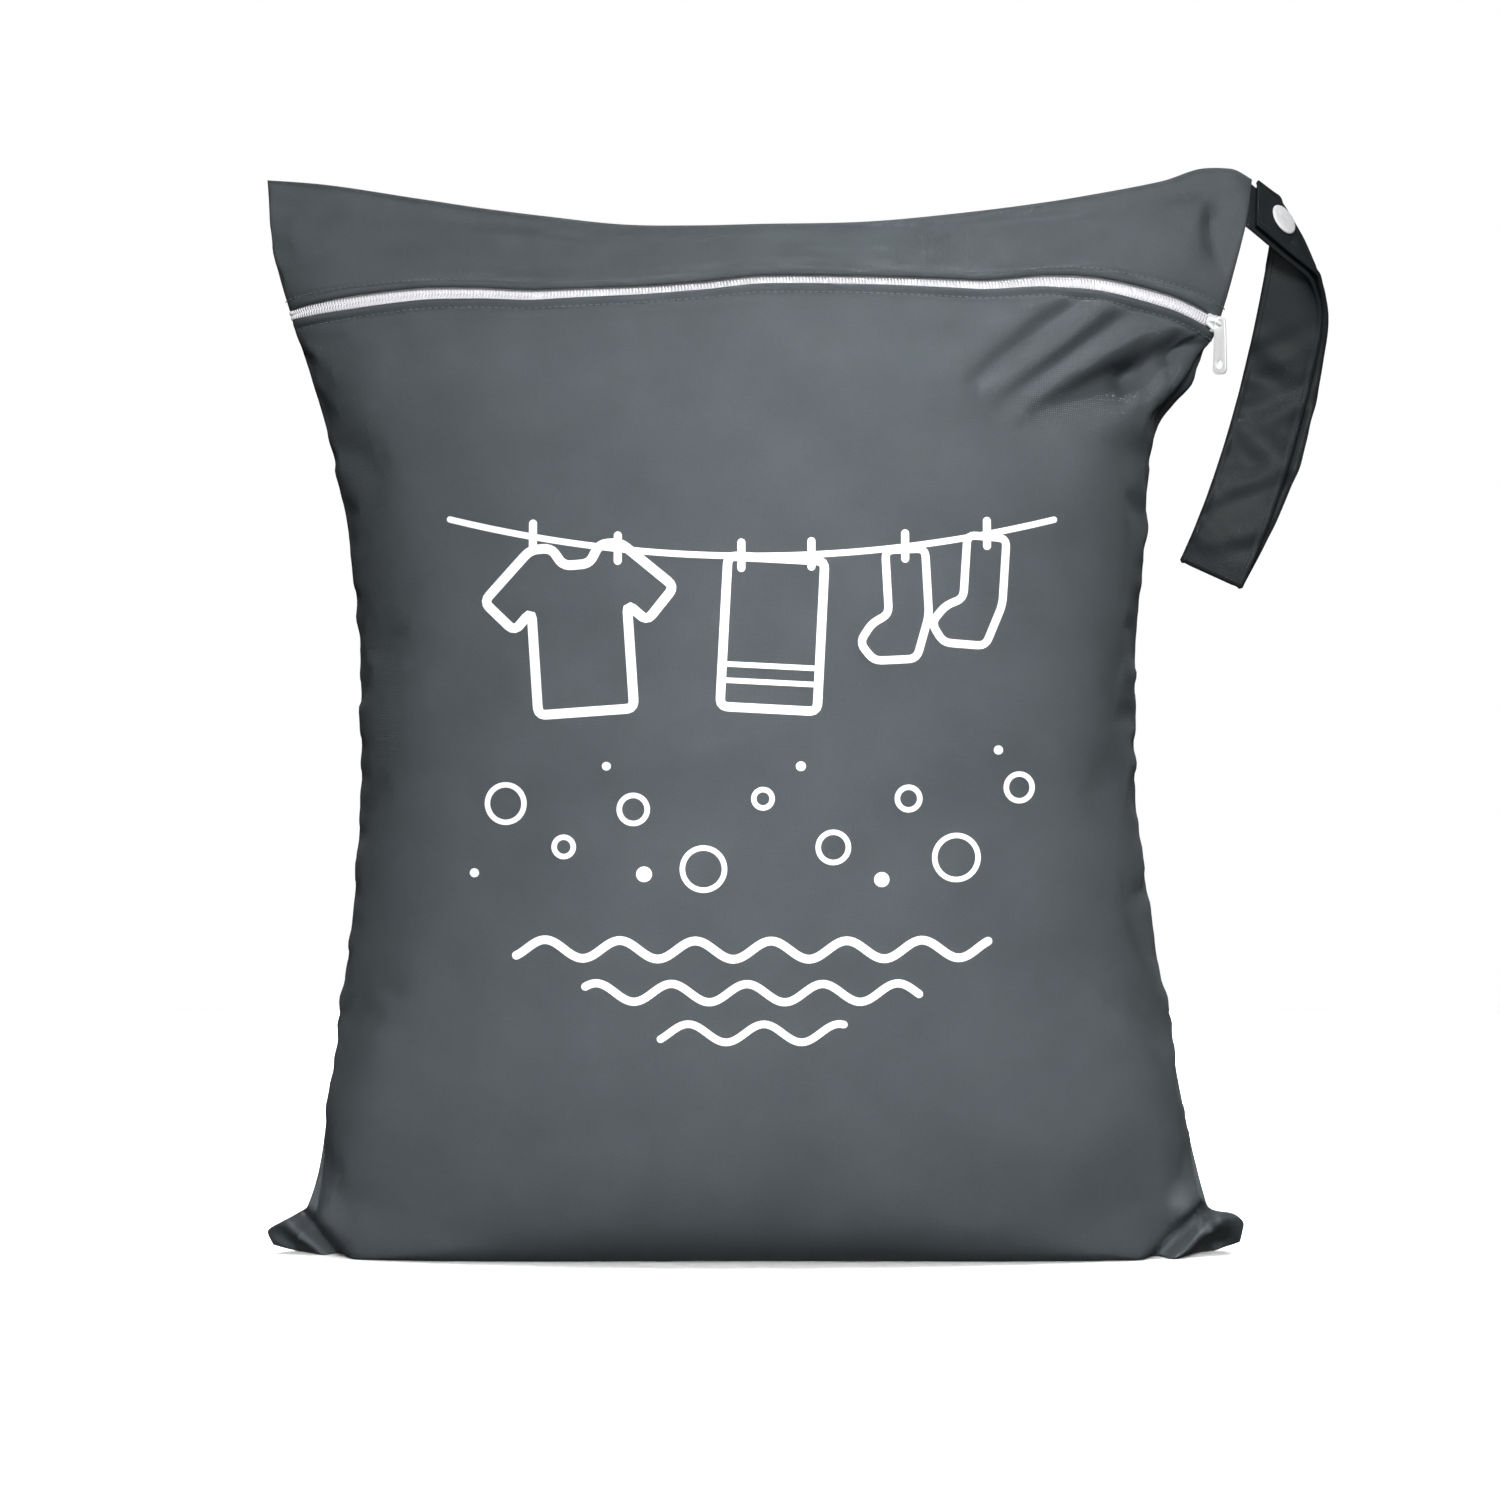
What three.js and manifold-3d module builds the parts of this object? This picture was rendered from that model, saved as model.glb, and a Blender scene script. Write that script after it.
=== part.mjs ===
// Travel laundry bag: a stuffed cloth bag that stands on its base, closed by a coil zip near its top seam,
// with a doubled hand strap at the top right corner that closes with a snap.
// Millimetres. +Z is up, the zipped front faces -Y, and the origin lies on the flat base under the bag's middle.

import * as THREE from "three";
import { mergeVertices } from "three/addons/utils/BufferGeometryUtils.js";
import Module from "manifold-3d";

const wasm = await Module();
wasm.setup();

// Driving dimensions
const CLOTH = 1.2; // wall of a panel
const SEAM_GAP = 0.3; // clearance between two pieces that are sewn or fitted together
const SKIN = SEAM_GAP / 2 + CLOTH * 1.25; // from the seams' surface to the outer face of a wall that lies flat on it
const PANEL_HEIGHT = 500; // cut height of a panel, from the top seam to the bottom seam
const ZIP_DROP = 50; // from the top seam to the middle of the zip
const ZIP_SLOT = 6.4; // width of the slot between the two cloth lips
const TAPE_WIDTH = 22;
const TAPE_WALL = 1.0;
const CHAIN_WIDTH = 4.4;
const CHAIN_DEPTH = CLOTH; // how far the coil sits under the outer face of the cloth
const CHAIN_PROUD = 0.75; // how far the coil stands out of the cloth
const SLIDER_AT = 0.885; // place of the slider across the front, -1 left seam, +1 right seam

// The bag's shape, one row per line of cloth across the panels.
// down: distance along the cloth from the top seam. height, front, back: the middle of the line, its height and the
// depth of the front and back walls there. leftX .. rightY: the side seams. from, bend: where the line starts to run
// towards the seam's height, as a share of the half width, and how sharply. waist: the share where the stuffed body
// ends and the two walls lie flat on each other. square, flare: how boxy the line's swelling is, and how much it
// grows away from the middle.
const SECTIONS = [
  {
    down: 0, height: 402, front: 0, back: 0, leftX: -189, leftZ: 417.5, rightX: 196, rightZ: 419, rightY: 9,
    from: 0, bend: 1.6, waist: 1, square: 1, flare: 0,
  },
  {
    down: 22, height: 393, front: 18, back: 19, leftX: -187, leftZ: 393, rightX: 191.5, rightZ: 396, rightY: -6,
    from: 0, bend: 2, waist: 1, square: 1, flare: 0,
  },
  {
    down: 50, height: 375.5, front: 41, back: 43, leftX: -179.5, leftZ: 364.5, rightX: 180.6, rightZ: 357.5, rightY: -5,
    from: 0, bend: 2.5, waist: 1, square: 1, flare: 0,
  },
  {
    down: 75, height: 355.5, front: 56, back: 58, leftX: -172.5, leftZ: 343, rightX: 173, rightZ: 339, rightY: -9,
    from: 0, bend: 2.2, waist: 1, square: 1, flare: 0,
  },
  {
    down: 100, height: 333, front: 67, back: 69, leftX: -166, leftZ: 321.5, rightX: 159, rightZ: 321, rightY: -7,
    from: 0, bend: 2, waist: 1, square: 1, flare: 0,
  },
  {
    down: 118, height: 316, front: 73, back: 75, leftX: -162, leftZ: 306, rightX: 154.2, rightZ: 306, rightY: -3,
    from: 0, bend: 2, waist: 1, square: 1, flare: 0,
  },
  {
    down: 150, height: 285.5, front: 82, back: 83, leftX: -157, leftZ: 278, rightX: 153, rightZ: 278, rightY: 0,
    from: 0, bend: 2, waist: 1, square: 1, flare: 0,
  },
  {
    down: 200, height: 236.5, front: 90.5, back: 91, leftX: -152.6, leftZ: 234, rightX: 149.4, rightZ: 234, rightY: 0,
    from: 0, bend: 2, waist: 1, square: 1, flare: 0,
  },
  {
    down: 250, height: 186.5, front: 94, back: 95, leftX: -152.1, leftZ: 190, rightX: 148.8, rightZ: 190, rightY: 0,
    from: 0, bend: 2, waist: 1, square: 1, flare: 0,
  },
  {
    down: 300, height: 136.5, front: 93, back: 95, leftX: -154.3, leftZ: 146.5, rightX: 153, rightZ: 146.5, rightY: 0,
    from: 0, bend: 2, waist: 1, square: 1, flare: 0,
  },
  {
    down: 350, height: 87, front: 87, back: 91, leftX: -158.8, leftZ: 103, rightX: 160, rightZ: 103, rightY: 0,
    from: 0, bend: 2, waist: 1, square: 0.95, flare: 0,
  },
  {
    down: 400, height: 38.5, front: 72, back: 78, leftX: -165, leftZ: 60.5, rightX: 167.5, rightZ: 60.5, rightY: 0,
    from: 0.1, bend: 2, waist: 1, square: 0.8, flare: 0.1,
  },
  {
    down: 430, height: 11.5, front: 53, back: 59, leftX: -168.4, leftZ: 35, rightX: 173, rightZ: 35, rightY: 0,
    from: 0.5, bend: 2, waist: 0.99, square: 0.65, flare: 0.3,
  },
  {
    down: 454, height: 0, front: 27, back: 34, leftX: -173, leftZ: 18.5, rightX: 177.5, rightZ: 19, rightY: 0,
    from: 0.9, bend: 1.6, waist: 0.97, square: 0.5, flare: 1,
  },
  {
    down: 477, height: 0, front: 8, back: 16, leftX: -182, leftZ: 14, rightX: 187, rightZ: 16, rightY: 0,
    from: 0.92, bend: 1.5, waist: 0.94, square: 0.5, flare: 1,
  },
  {
    down: 500, height: 0, front: -5, back: 5, leftX: -189.5, leftZ: 6.5, rightX: 191.5, rightZ: 6, rightY: 0,
    from: 0.95, bend: 1.3, waist: 0.92, square: 1, flare: 0,
  },
];

// Height added to the top seam and to the zip along the bag, which both run in waves.
const WAVES = [
  { x: -200, top: 0, zip: 0 },
  { x: -165, top: 1.8, zip: 0.4 },
  { x: -130, top: 0.5, zip: 0 },
  { x: -105, top: -0.8, zip: -2 },
  { x: -80, top: -1.8, zip: -4.4 },
  { x: -50, top: -2.9, zip: -4.4 },
  { x: -20, top: -1.8, zip: -3 },
  { x: 5, top: -0.8, zip: -0.6 },
  { x: 45, top: -1.5, zip: -0.2 },
  { x: 85, top: -0.6, zip: 0.8 },
  { x: 115, top: 0.5, zip: 5.8 },
  { x: 135, top: 1.7, zip: 7.6 },
  { x: 160, top: 3.7, zip: 6.6 },
  { x: 176, top: 6.8, zip: 3.7 },
  { x: 187, top: 5.6, zip: 0.6 },
  { x: 197, top: 0, zip: 0 },
];

// Folds and dents of the cloth, placed as seen from the front of the panel: from (x1, z1) to (x2, z2), as wide as
// width to either side, raised by lift (a valley is negative).
const FOLDS = [
  { name: "left ear crease", face: "front", x1: -176, z1: 15, x2: -160, z2: 0, width: 4.5, lift: -5 },
  { name: "left ear roll", face: "front", x1: -170, z1: 18, x2: -146, z2: 4, width: 6, lift: 1.8 },
  { name: "right ear crease", face: "front", x1: 176, z1: 15, x2: 156, z2: 0, width: 4.5, lift: -5 },
  { name: "right ear roll", face: "front", x1: 170, z1: 22, x2: 143, z2: 4, width: 6, lift: 2 },
  { name: "right base crease", face: "front", x1: 164, z1: 17, x2: 136, z2: 3, width: 6, lift: -2.2 },
  { name: "slider fold", face: "front", x1: 172, z1: 352, x2: 100, z2: 324, width: 9, lift: -3.2 },
  { name: "slider ridge", face: "front", x1: 150, z1: 362, x2: 96, z2: 334, width: 9, lift: 2.4 },
  { name: "right shoulder dent", face: "front", x1: 154, z1: 334, x2: 147, z2: 326, width: 9, lift: -4.5 },
  { name: "right shoulder ridge", face: "front", x1: 160, z1: 322, x2: 118, z2: 306, width: 9, lift: 2 },
  { name: "top corner dent", face: "front", x1: 181, z1: 402, x2: 176, z2: 384, width: 9, lift: -3.5 },
  { name: "top band fold", face: "front", x1: -146, z1: 402, x2: -118, z2: 388, width: 8, lift: -1.5 },
  { name: "back left ear crease", face: "back", x1: -176, z1: 15, x2: -158, z2: 0, width: 4.5, lift: -5 },
  { name: "back right ear crease", face: "back", x1: 177, z1: 15, x2: 158, z2: 0, width: 4.5, lift: -5 },
  { name: "back right shoulder fold", face: "back", x1: 168, z1: 352, x2: 104, z2: 330, width: 10, lift: -3 },
  { name: "back left shoulder fold", face: "back", x1: -168, z1: 350, x2: -110, z2: 332, width: 10, lift: -2.5 },
];

// Doubled hand strap. It leaves the side seam in the plane square to rootOut, rolls backwards over a slanting axis
// until it runs along hang, and then swings in towards the bag on a wide arc.
const STRAP = {
  width: 27,
  rootWidth: 25, // gathered into the seam
  wall: 1.5,
  reach: 164, // from the seam to the turned end
  root: new THREE.Vector3(195.5, 2.2, 409.3),
  rootUp: new THREE.Vector3(0.08, 0.63, 0.772),
  rootOut: new THREE.Vector3(0.68, -0.6, 0.42),
  rootSlant: 1, // the sewn end is cut on this slant, to follow the seam
  rollStart: 15.6, // flat length before the roll, across the roll's axis
  rollRadius: 4.6,
  hang: new THREE.Vector3(-0.17, 0, -0.985),
  swing: 420, // radius of the arc that the hanging part follows
  freeEnd: 2.2, // the upper layer stops this far short of the seam
  skew: 3, // sideways shift of the upper layer where it hangs
};
const LAYER_GAPS = [
  { along: 0, gap: 3.6 },
  { along: 30, gap: 3.6 },
  { along: 75, gap: 6.8 },
  { along: 115, gap: 9.4 },
  { along: 145, gap: 5.6 },
  { along: 164, gap: 2.2 },
];
const SNAP = { along: 14.5, beside: 0, radius: 6.4, height: 1.5, post: 1.6, hole: 2.0, ring: 4.6 };

const BAIL = { span: 6.4, wire: 1.1, width: 1.3, top: 5.4 };
const PULL = { length: 22.4, neck: 5.1, width: 5.7, wall: 1.0, eye: 1.45, tipHole: 1.5, tipHoleRise: 3.6 };
const PLATE = { length: 8.4, nose: 4.4, width: 6.6, bottom: 1.05, top: 2.0, flange: 0.65 };

// Values between the rows of a table, on a curve that does not overshoot them.
function between(table, key, column, at) {
  const last = table.length - 1;
  let i = 0;
  while (i < last - 1 && at > table[i + 1][key]) i += 1;
  const slope = (k) => (table[k + 1][column] - table[k][column]) / (table[k + 1][key] - table[k][key]);
  const tangent = (k) => {
    if (k === 0) return slope(0);
    if (k === last) return slope(last - 1);
    const before = slope(k - 1);
    const after = slope(k);
    return before * after <= 0 ? 0 : (2 * before * after) / (before + after);
  };
  const span = table[i + 1][key] - table[i][key];
  const t = Math.min(1, Math.max(0, (at - table[i][key]) / span));
  const a = table[i][column];
  const b = table[i + 1][column];
  return (
    a * (1 + 2 * t) * (1 - t) ** 2 +
    b * t * t * (3 - 2 * t) +
    span * t * (1 - t) * (tangent(i) * (1 - t) - tangent(i + 1) * t)
  );
}

// A point of the surface that the seams lie in (swell 0), or of a swelling wall, moved off it by clear.
function shapePoint(face, across, down, clear, swell = 1) {
  const at = (column) => between(SECTIONS, "down", column, down);
  const angle = (across * Math.PI) / 2;
  const share = Math.abs(Math.sin(angle));
  const body = Math.max(0, 1 - (share / at("waist")) ** 2) ** (at("square") / 2);
  const bulge = body * (1 + at("flare") * share * share);
  const left = across < 0;
  const edgeX = left ? at("leftX") : at("rightX");
  const edgeZ = left ? at("leftZ") : at("rightZ");
  const edgeY = left ? 0 : at("rightY");
  const from = at("from");
  const run = (Math.max(0, share - from) / (1 - from)) ** at("bend");
  const x = edgeX * share;
  const depth = face === "front" ? -at("front") : at("back");
  const off = face === "front" ? -clear : clear;
  const y = edgeY * share ** 12 + depth * bulge * swell + off;
  const topWave = between(WAVES, "x", "top", x) * Math.max(0, 1 - down / ZIP_DROP);
  const zipFade = Math.max(0, 1 - Math.abs(down - ZIP_DROP) / (down < ZIP_DROP ? 50 : 75));
  const zipWave = between(WAVES, "x", "zip", x) * zipFade * zipFade * (3 - 2 * zipFade);
  const z = at("height") + (edgeZ - at("height")) * run + topWave + zipWave;
  return new THREE.Vector3(x, y, Math.max(0, z));
}

function outerNormal(face, across, down, clear) {
  const step = 0.004;
  const a0 = Math.max(-0.999, across - step);
  const a1 = Math.min(0.999, across + step);
  const d0 = Math.max(0, down - 2);
  const d1 = Math.min(PANEL_HEIGHT, down + 2);
  const mid = Math.min(0.998, Math.max(-0.998, across));
  const along = shapePoint(face, a1, down, clear).sub(shapePoint(face, a0, down, clear));
  const fall = shapePoint(face, mid, d1, clear).sub(shapePoint(face, mid, d0, clear));
  const normal = fall.cross(along).normalize();
  return face === "front" ? normal : normal.negate();
}

function foldLift(face, across, down, p) {
  let lift = 0;
  for (const fold of FOLDS) {
    if (fold.face !== face) continue;
    const dx = fold.x2 - fold.x1;
    const dz = fold.z2 - fold.z1;
    const t = Math.min(1, Math.max(0, ((p.x - fold.x1) * dx + (p.z - fold.z1) * dz) / (dx * dx + dz * dz)));
    const away = Math.hypot(p.x - fold.x1 - t * dx, p.z - fold.z1 - t * dz) / fold.width;
    lift += fold.lift * Math.exp(-away * away);
  }
  const toSeam = Math.min(1, Math.cos((across * Math.PI) / 2) / 0.22);
  const toEnd = Math.min(1, down / 14, (PANEL_HEIGHT - down) / 20);
  const toZip = Math.min(1, Math.max(0, (Math.abs(down - ZIP_DROP) - 5) / 14));
  return lift * toSeam * toEnd * toZip;
}

// A point of a wall's outer face sunk by depth under the cloth's surface.
function clothPoint(face, across, down, depth) {
  const p = shapePoint(face, across, down, SKIN);
  const normal = outerNormal(face, across, down, SKIN);
  const room = Math.abs(p.y - shapePoint(face, across, down, SKIN, 0).y);
  p.addScaledVector(normal, Math.max(-0.7 * room, foldLift(face, across, down, p)));
  p.z = Math.max(0, p.z);
  p.addScaledVector(normal, -depth);
  p.z = Math.max(Math.min(depth, CLOTH / 2), p.z);
  return p;
}

// Direction from a seam into the bag, in the surface that the seams lie in. It is the same for both walls.
function seamInward(at, down, nextAt, nextDown) {
  const p = shapePoint("front", at, down, 0, 0);
  const inward = new THREE.Vector3();
  const rounding = new THREE.Vector3();
  for (const face of ["front", "back"]) {
    inward.add(shapePoint(face, nextAt, nextDown, 0).sub(p).setY(0));
    rounding.add(outerNormal(face, at, down, SKIN).setY(0));
  }
  if (inward.length() > 1) inward.normalize();
  inward.addScaledVector(rounding, -1).normalize();
  const a = shapePoint("front", at * 0.96, down, 0, 0).sub(p);
  const b = shapePoint("front", at, down < PANEL_HEIGHT / 2 ? down + 4 : down - 4, 0, 0).sub(p);
  const area = a.x * b.z - a.z * b.x;
  if (Math.abs(area) > 0.5) {
    inward.y = ((a.y * b.z - a.z * b.y) * inward.x + (a.x * b.y - a.y * b.x) * inward.z) / area;
  }
  return inward;
}

// Closed body between two grids of points with the same rows and columns. The outer grid faces outwards.
function bodyBetween(outer, inner) {
  const rows = outer.length;
  const columns = outer[0].length;
  const position = [];
  const index = [];
  for (const grid of [outer, inner]) {
    for (const row of grid) {
      for (const p of row) position.push(p.x, p.y, p.z);
    }
  }
  const o = (j, i) => j * columns + i;
  const n = (j, i) => rows * columns + j * columns + i;
  const quad = (a, b, c, d) => index.push(a, b, c, a, c, d);
  for (let j = 0; j < rows - 1; j += 1) {
    for (let i = 0; i < columns - 1; i += 1) {
      quad(o(j, i), o(j + 1, i), o(j + 1, i + 1), o(j, i + 1));
      quad(n(j, i), n(j, i + 1), n(j + 1, i + 1), n(j + 1, i));
    }
    quad(o(j + 1, 0), o(j, 0), n(j, 0), n(j + 1, 0));
    quad(o(j, columns - 1), o(j + 1, columns - 1), n(j + 1, columns - 1), n(j, columns - 1));
  }
  for (let i = 0; i < columns - 1; i += 1) {
    quad(o(0, i), o(0, i + 1), n(0, i + 1), n(0, i));
    quad(o(rows - 1, i + 1), o(rows - 1, i), n(rows - 1, i), n(rows - 1, i + 1));
  }
  const geometry = new THREE.BufferGeometry();
  geometry.setAttribute("position", new THREE.Float32BufferAttribute(position, 3));
  geometry.setIndex(index);
  return geometry;
}

// Wall of cloth over a patch of a panel. Its side edges lie in the side seams, and so does its first or last row
// when topSeam or bottomSeam says so; other rows end in a plain cut edge.
function clothWall(face, acrossList, downList, topSeam, bottomSeam) {
  const outer = [];
  const inner = [];
  const lastRow = downList.length - 1;
  const lastColumn = acrossList.length - 1;
  const skin = (j, i) => clothPoint(face, acrossList[i], downList[j], 0);
  for (let j = 0; j <= lastRow; j += 1) {
    const outerRow = [];
    const innerRow = [];
    for (let i = 0; i <= lastColumn; i += 1) {
      const across = acrossList[i];
      const down = downList[j];
      const sewn = i === 0 || i === lastColumn || (topSeam && j === 0) || (bottomSeam && j === lastRow);
      if (sewn) {
        const p = shapePoint(face, across, down, SEAM_GAP / 2);
        const nextRow = topSeam && j === 0 ? 1 : bottomSeam && j === lastRow ? lastRow - 1 : j;
        const nextColumn = i === 0 ? 1 : i === lastColumn ? lastColumn - 1 : i;
        const inward = seamInward(across, down, acrossList[nextColumn], downList[nextRow]);
        outerRow.push(p);
        innerRow.push(p.clone().addScaledVector(inward, CLOTH));
      } else {
        outerRow.push(skin(j, i));
        innerRow.push(clothPoint(face, across, down, CLOTH));
      }
    }
    outerRow.forEach((p) => { p.z = Math.max(0, p.z); });
    if (face === "back") {
      outerRow.reverse();
      innerRow.reverse();
    }
    outer.push(outerRow);
    inner.push(innerRow);
  }
  return bodyBetween(outer, inner);
}

function spread(from, to, count) {
  return Array.from({ length: count + 1 }, (_, i) => from + ((to - from) * i) / count);
}

// Columns and rows of the cloth's grid
const across = spread(-1, 1, 30);
const bandRows = [0, 5, 14, 26, 38, ZIP_DROP - ZIP_SLOT / 2];
const bodyRows = [
  ZIP_DROP + ZIP_SLOT / 2, 62, 73, 86, 100, 116, 134, 156, 182, 212, 244, 276, 306,
  334, 358, 379, 397, 412, 424, 434, 441, 447, 454, 465, 477, 489, PANEL_HEIGHT,
];

// Zip, carried by the cloth's surface along the middle of the slot
function zipFrame(across) {
  const point = clothPoint("front", across, ZIP_DROP, 0);
  const out = outerNormal("front", across, ZIP_DROP, SKIN);
  const ahead = clothPoint("front", across + 0.004, ZIP_DROP, 0);
  const along = ahead.sub(clothPoint("front", across - 0.004, ZIP_DROP, 0));
  along.addScaledVector(out, -along.dot(out)).normalize();
  return { point, along, side: out.clone().cross(along), out };
}

// Closed body swept along frames, from a section listed as [side, out] pairs that runs anticlockwise as seen from
// the far end.
function sweptBody(frames, section) {
  const position = [];
  const index = [];
  const count = section.length;
  for (const frame of frames) {
    for (const [side, out] of section) {
      const p = frame.point.clone().addScaledVector(frame.side, side).addScaledVector(frame.out, out);
      position.push(p.x, p.y, p.z);
    }
  }
  for (let k = 0; k < frames.length - 1; k += 1) {
    for (let i = 0; i < count; i += 1) {
      const a = k * count + i;
      const b = k * count + ((i + 1) % count);
      index.push(a, b, b + count, a, b + count, a + count);
    }
  }
  const faces = THREE.ShapeUtils.triangulateShape(section.map(([s, o]) => new THREE.Vector2(s, o)), []);
  const far = (frames.length - 1) * count;
  for (const [a, b, c] of faces) {
    index.push(a, c, b);
    index.push(far + a, far + b, far + c);
  }
  const geometry = new THREE.BufferGeometry();
  geometry.setAttribute("position", new THREE.Float32BufferAttribute(position, 3));
  geometry.setIndex(index);
  return geometry;
}

function tapeBody() {
  const top = CLOTH + SEAM_GAP;
  const columns = across.slice(1, -1);
  const half = [ZIP_SLOT / 2, TAPE_WIDTH / 2 + 1];
  const rows = [ZIP_DROP - half[1], ZIP_DROP - half[0], ZIP_DROP + half[0], ZIP_DROP + half[1]];
  const layer = (depth) => rows.map((down) => columns.map((at) => clothPoint("front", at, down, depth)));
  return bodyBetween(layer(top), layer(top + TAPE_WALL));
}

function chainBody() {
  const half = CHAIN_WIDTH / 2;
  const section = [
    [-half, -CHAIN_DEPTH],
    [half, -CHAIN_DEPTH],
    [half, 0.1],
    [half * 0.6, CHAIN_PROUD],
    [0, CHAIN_PROUD * 0.35],
    [-half * 0.6, CHAIN_PROUD],
    [-half, 0.1],
  ];
  return sweptBody(spread(-0.985, SLIDER_AT + 0.035, 40).map(zipFrame), section);
}

// Boolean joins and cuts of closed bodies
function toManifold(geometry) {
  const plain = geometry.index ? geometry.clone() : geometry;
  plain.deleteAttribute("normal");
  plain.deleteAttribute("uv");
  const welded = mergeVertices(plain, 1e-4);
  const mesh = new wasm.Mesh({
    numProp: 3,
    vertProperties: Float32Array.from(welded.attributes.position.array),
    triVerts: Uint32Array.from(welded.index.array),
  });
  return new wasm.Manifold(mesh);
}

function toGeometry(manifold) {
  const mesh = manifold.getMesh();
  const geometry = new THREE.BufferGeometry();
  geometry.setAttribute("position", new THREE.Float32BufferAttribute(mesh.vertProperties, 3));
  geometry.setIndex(Array.from(mesh.triVerts));
  return geometry;
}

function joined(geometries) {
  return toGeometry(geometries.map(toManifold).reduce((a, b) => a.add(b)));
}

function extruded(outline, holes, thickness, segments) {
  const shape = new THREE.Shape(outline);
  for (const hole of holes) shape.holes.push(new THREE.Path(hole));
  return new THREE.ExtrudeGeometry(shape, { depth: thickness, bevelEnabled: false, curveSegments: segments });
}

function arcPoints(x, y, radius, from, to, count) {
  return spread(from, to, count).map((a) => new THREE.Vector2(x + radius * Math.cos(a), y + radius * Math.sin(a)));
}

const sliderFrame = zipFrame(SLIDER_AT);
const sliderBasis = new THREE.Matrix4()
  .makeBasis(sliderFrame.along, sliderFrame.side, sliderFrame.out)
  .setPosition(sliderFrame.point);

// Slider body: plate with shoulders over the coil, two flanges beside it and the bail that holds the pull.
function sliderBody() {
  const half = PLATE.length / 2;
  const outline = [
    new THREE.Vector2(-half, -PLATE.nose / 2),
    new THREE.Vector2(-half * 0.2, -PLATE.nose / 2 - 0.4),
    new THREE.Vector2(half * 0.35, -PLATE.width / 2),
    ...arcPoints(half - 1.2, -PLATE.width / 2 + 1.2, 1.2, -Math.PI / 2, 0, 3),
    ...arcPoints(half - 1.2, PLATE.width / 2 - 1.2, 1.2, 0, Math.PI / 2, 3),
    new THREE.Vector2(half * 0.35, PLATE.width / 2),
    new THREE.Vector2(-half * 0.2, PLATE.nose / 2 + 0.4),
    new THREE.Vector2(-half, PLATE.nose / 2),
  ];
  const plate = extruded(outline, [], PLATE.top - PLATE.bottom, 4).translate(0, 0, PLATE.bottom);
  const flange = new THREE.BoxGeometry(half * 0.9, PLATE.flange, 0.9);
  const flangeY = PLATE.width / 2 - PLATE.flange / 2;
  const left = flange.clone().translate(half * 0.5, flangeY, PLATE.bottom - 0.2);
  const right = flange.clone().translate(half * 0.5, -flangeY, PLATE.bottom - 0.2);
  const reach = BAIL.span / 2;
  const rise = BAIL.top - PLATE.top + 0.4;
  const round = 1.6;
  const arch = [
    new THREE.Vector2(-reach, 0),
    ...arcPoints(-reach + round, rise - round, round, Math.PI, Math.PI / 2, 4),
    ...arcPoints(reach - round, rise - round, round, Math.PI / 2, 0, 4),
    new THREE.Vector2(reach, 0),
    new THREE.Vector2(reach - BAIL.wire, 0),
    ...arcPoints(reach - round, rise - round, round - BAIL.wire, 0, Math.PI / 2, 4),
    ...arcPoints(-reach + round, rise - round, round - BAIL.wire, Math.PI / 2, Math.PI, 4),
    new THREE.Vector2(-reach + BAIL.wire, 0),
  ];
  const bail = extruded(arch, [], BAIL.width, 4)
    .rotateX(Math.PI / 2)
    .translate(0, BAIL.width / 2, PLATE.top - 0.4);
  return joined([plate, left, right, bail]).applyMatrix4(sliderBasis);
}

// Pull: a flat tab whose eye hangs on the bail's wire, in the upright plane square to the zip.
const hingePoint = new THREE.Vector3(0, 0, BAIL.top - BAIL.wire / 2).applyMatrix4(sliderBasis);
const hingeAxis = sliderFrame.along.clone().setZ(0).normalize();

function pullBody() {
  const eyeOuter = PULL.neck / 2;
  const tip = -(PULL.length - eyeOuter);
  const round = 1.9;
  const half = PULL.width / 2;
  const outline = [
    ...arcPoints(0, 0, eyeOuter, 0, Math.PI, 10),
    ...arcPoints(-half + round, tip + round, round, Math.PI, Math.PI * 1.5, 5),
    ...arcPoints(half - round, tip + round, round, Math.PI * 1.5, Math.PI * 2, 5),
  ];
  const eye = arcPoints(0, 0, PULL.eye, 0, Math.PI * 2, 20).slice(0, -1);
  const hole = arcPoints(0, tip + PULL.tipHoleRise, PULL.tipHole, 0, Math.PI * 2, 16).slice(0, -1);
  const body = extruded(outline, [eye, hole], PULL.wall, 4).translate(0, 0, -PULL.wall / 2);
  const up = new THREE.Vector3(0, 0, 1);
  const basis = new THREE.Matrix4()
    .makeBasis(up.clone().cross(hingeAxis), up, hingeAxis.clone())
    .setPosition(hingePoint);
  return body.applyMatrix4(basis);
}

// Strap
const strapUp = STRAP.rootUp.clone().normalize();
const strapAhead = strapUp.clone().cross(STRAP.rootOut).normalize();
const strapOut = strapAhead.clone().cross(strapUp);
const plumb = STRAP.hang.clone().normalize();
const rollSlant = Math.atan2(1 - plumb.dot(strapAhead), -plumb.dot(strapUp));
const rollTurn = Math.acos(1 - (1 - plumb.dot(strapAhead)) / Math.sin(rollSlant) ** 2);
const rollAxis = strapAhead.clone().multiplyScalar(Math.cos(rollSlant)).addScaledVector(strapUp, -Math.sin(rollSlant));
const rollCross = strapAhead.clone().multiplyScalar(Math.sin(rollSlant)).addScaledVector(strapUp, Math.cos(rollSlant));
const rollArc = rollTurn * STRAP.rollRadius;
const hangStart =
  (STRAP.rollStart + rollArc + (STRAP.width / 2) * Math.cos(rollSlant)) / Math.sin(rollSlant) + 0.5;

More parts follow.
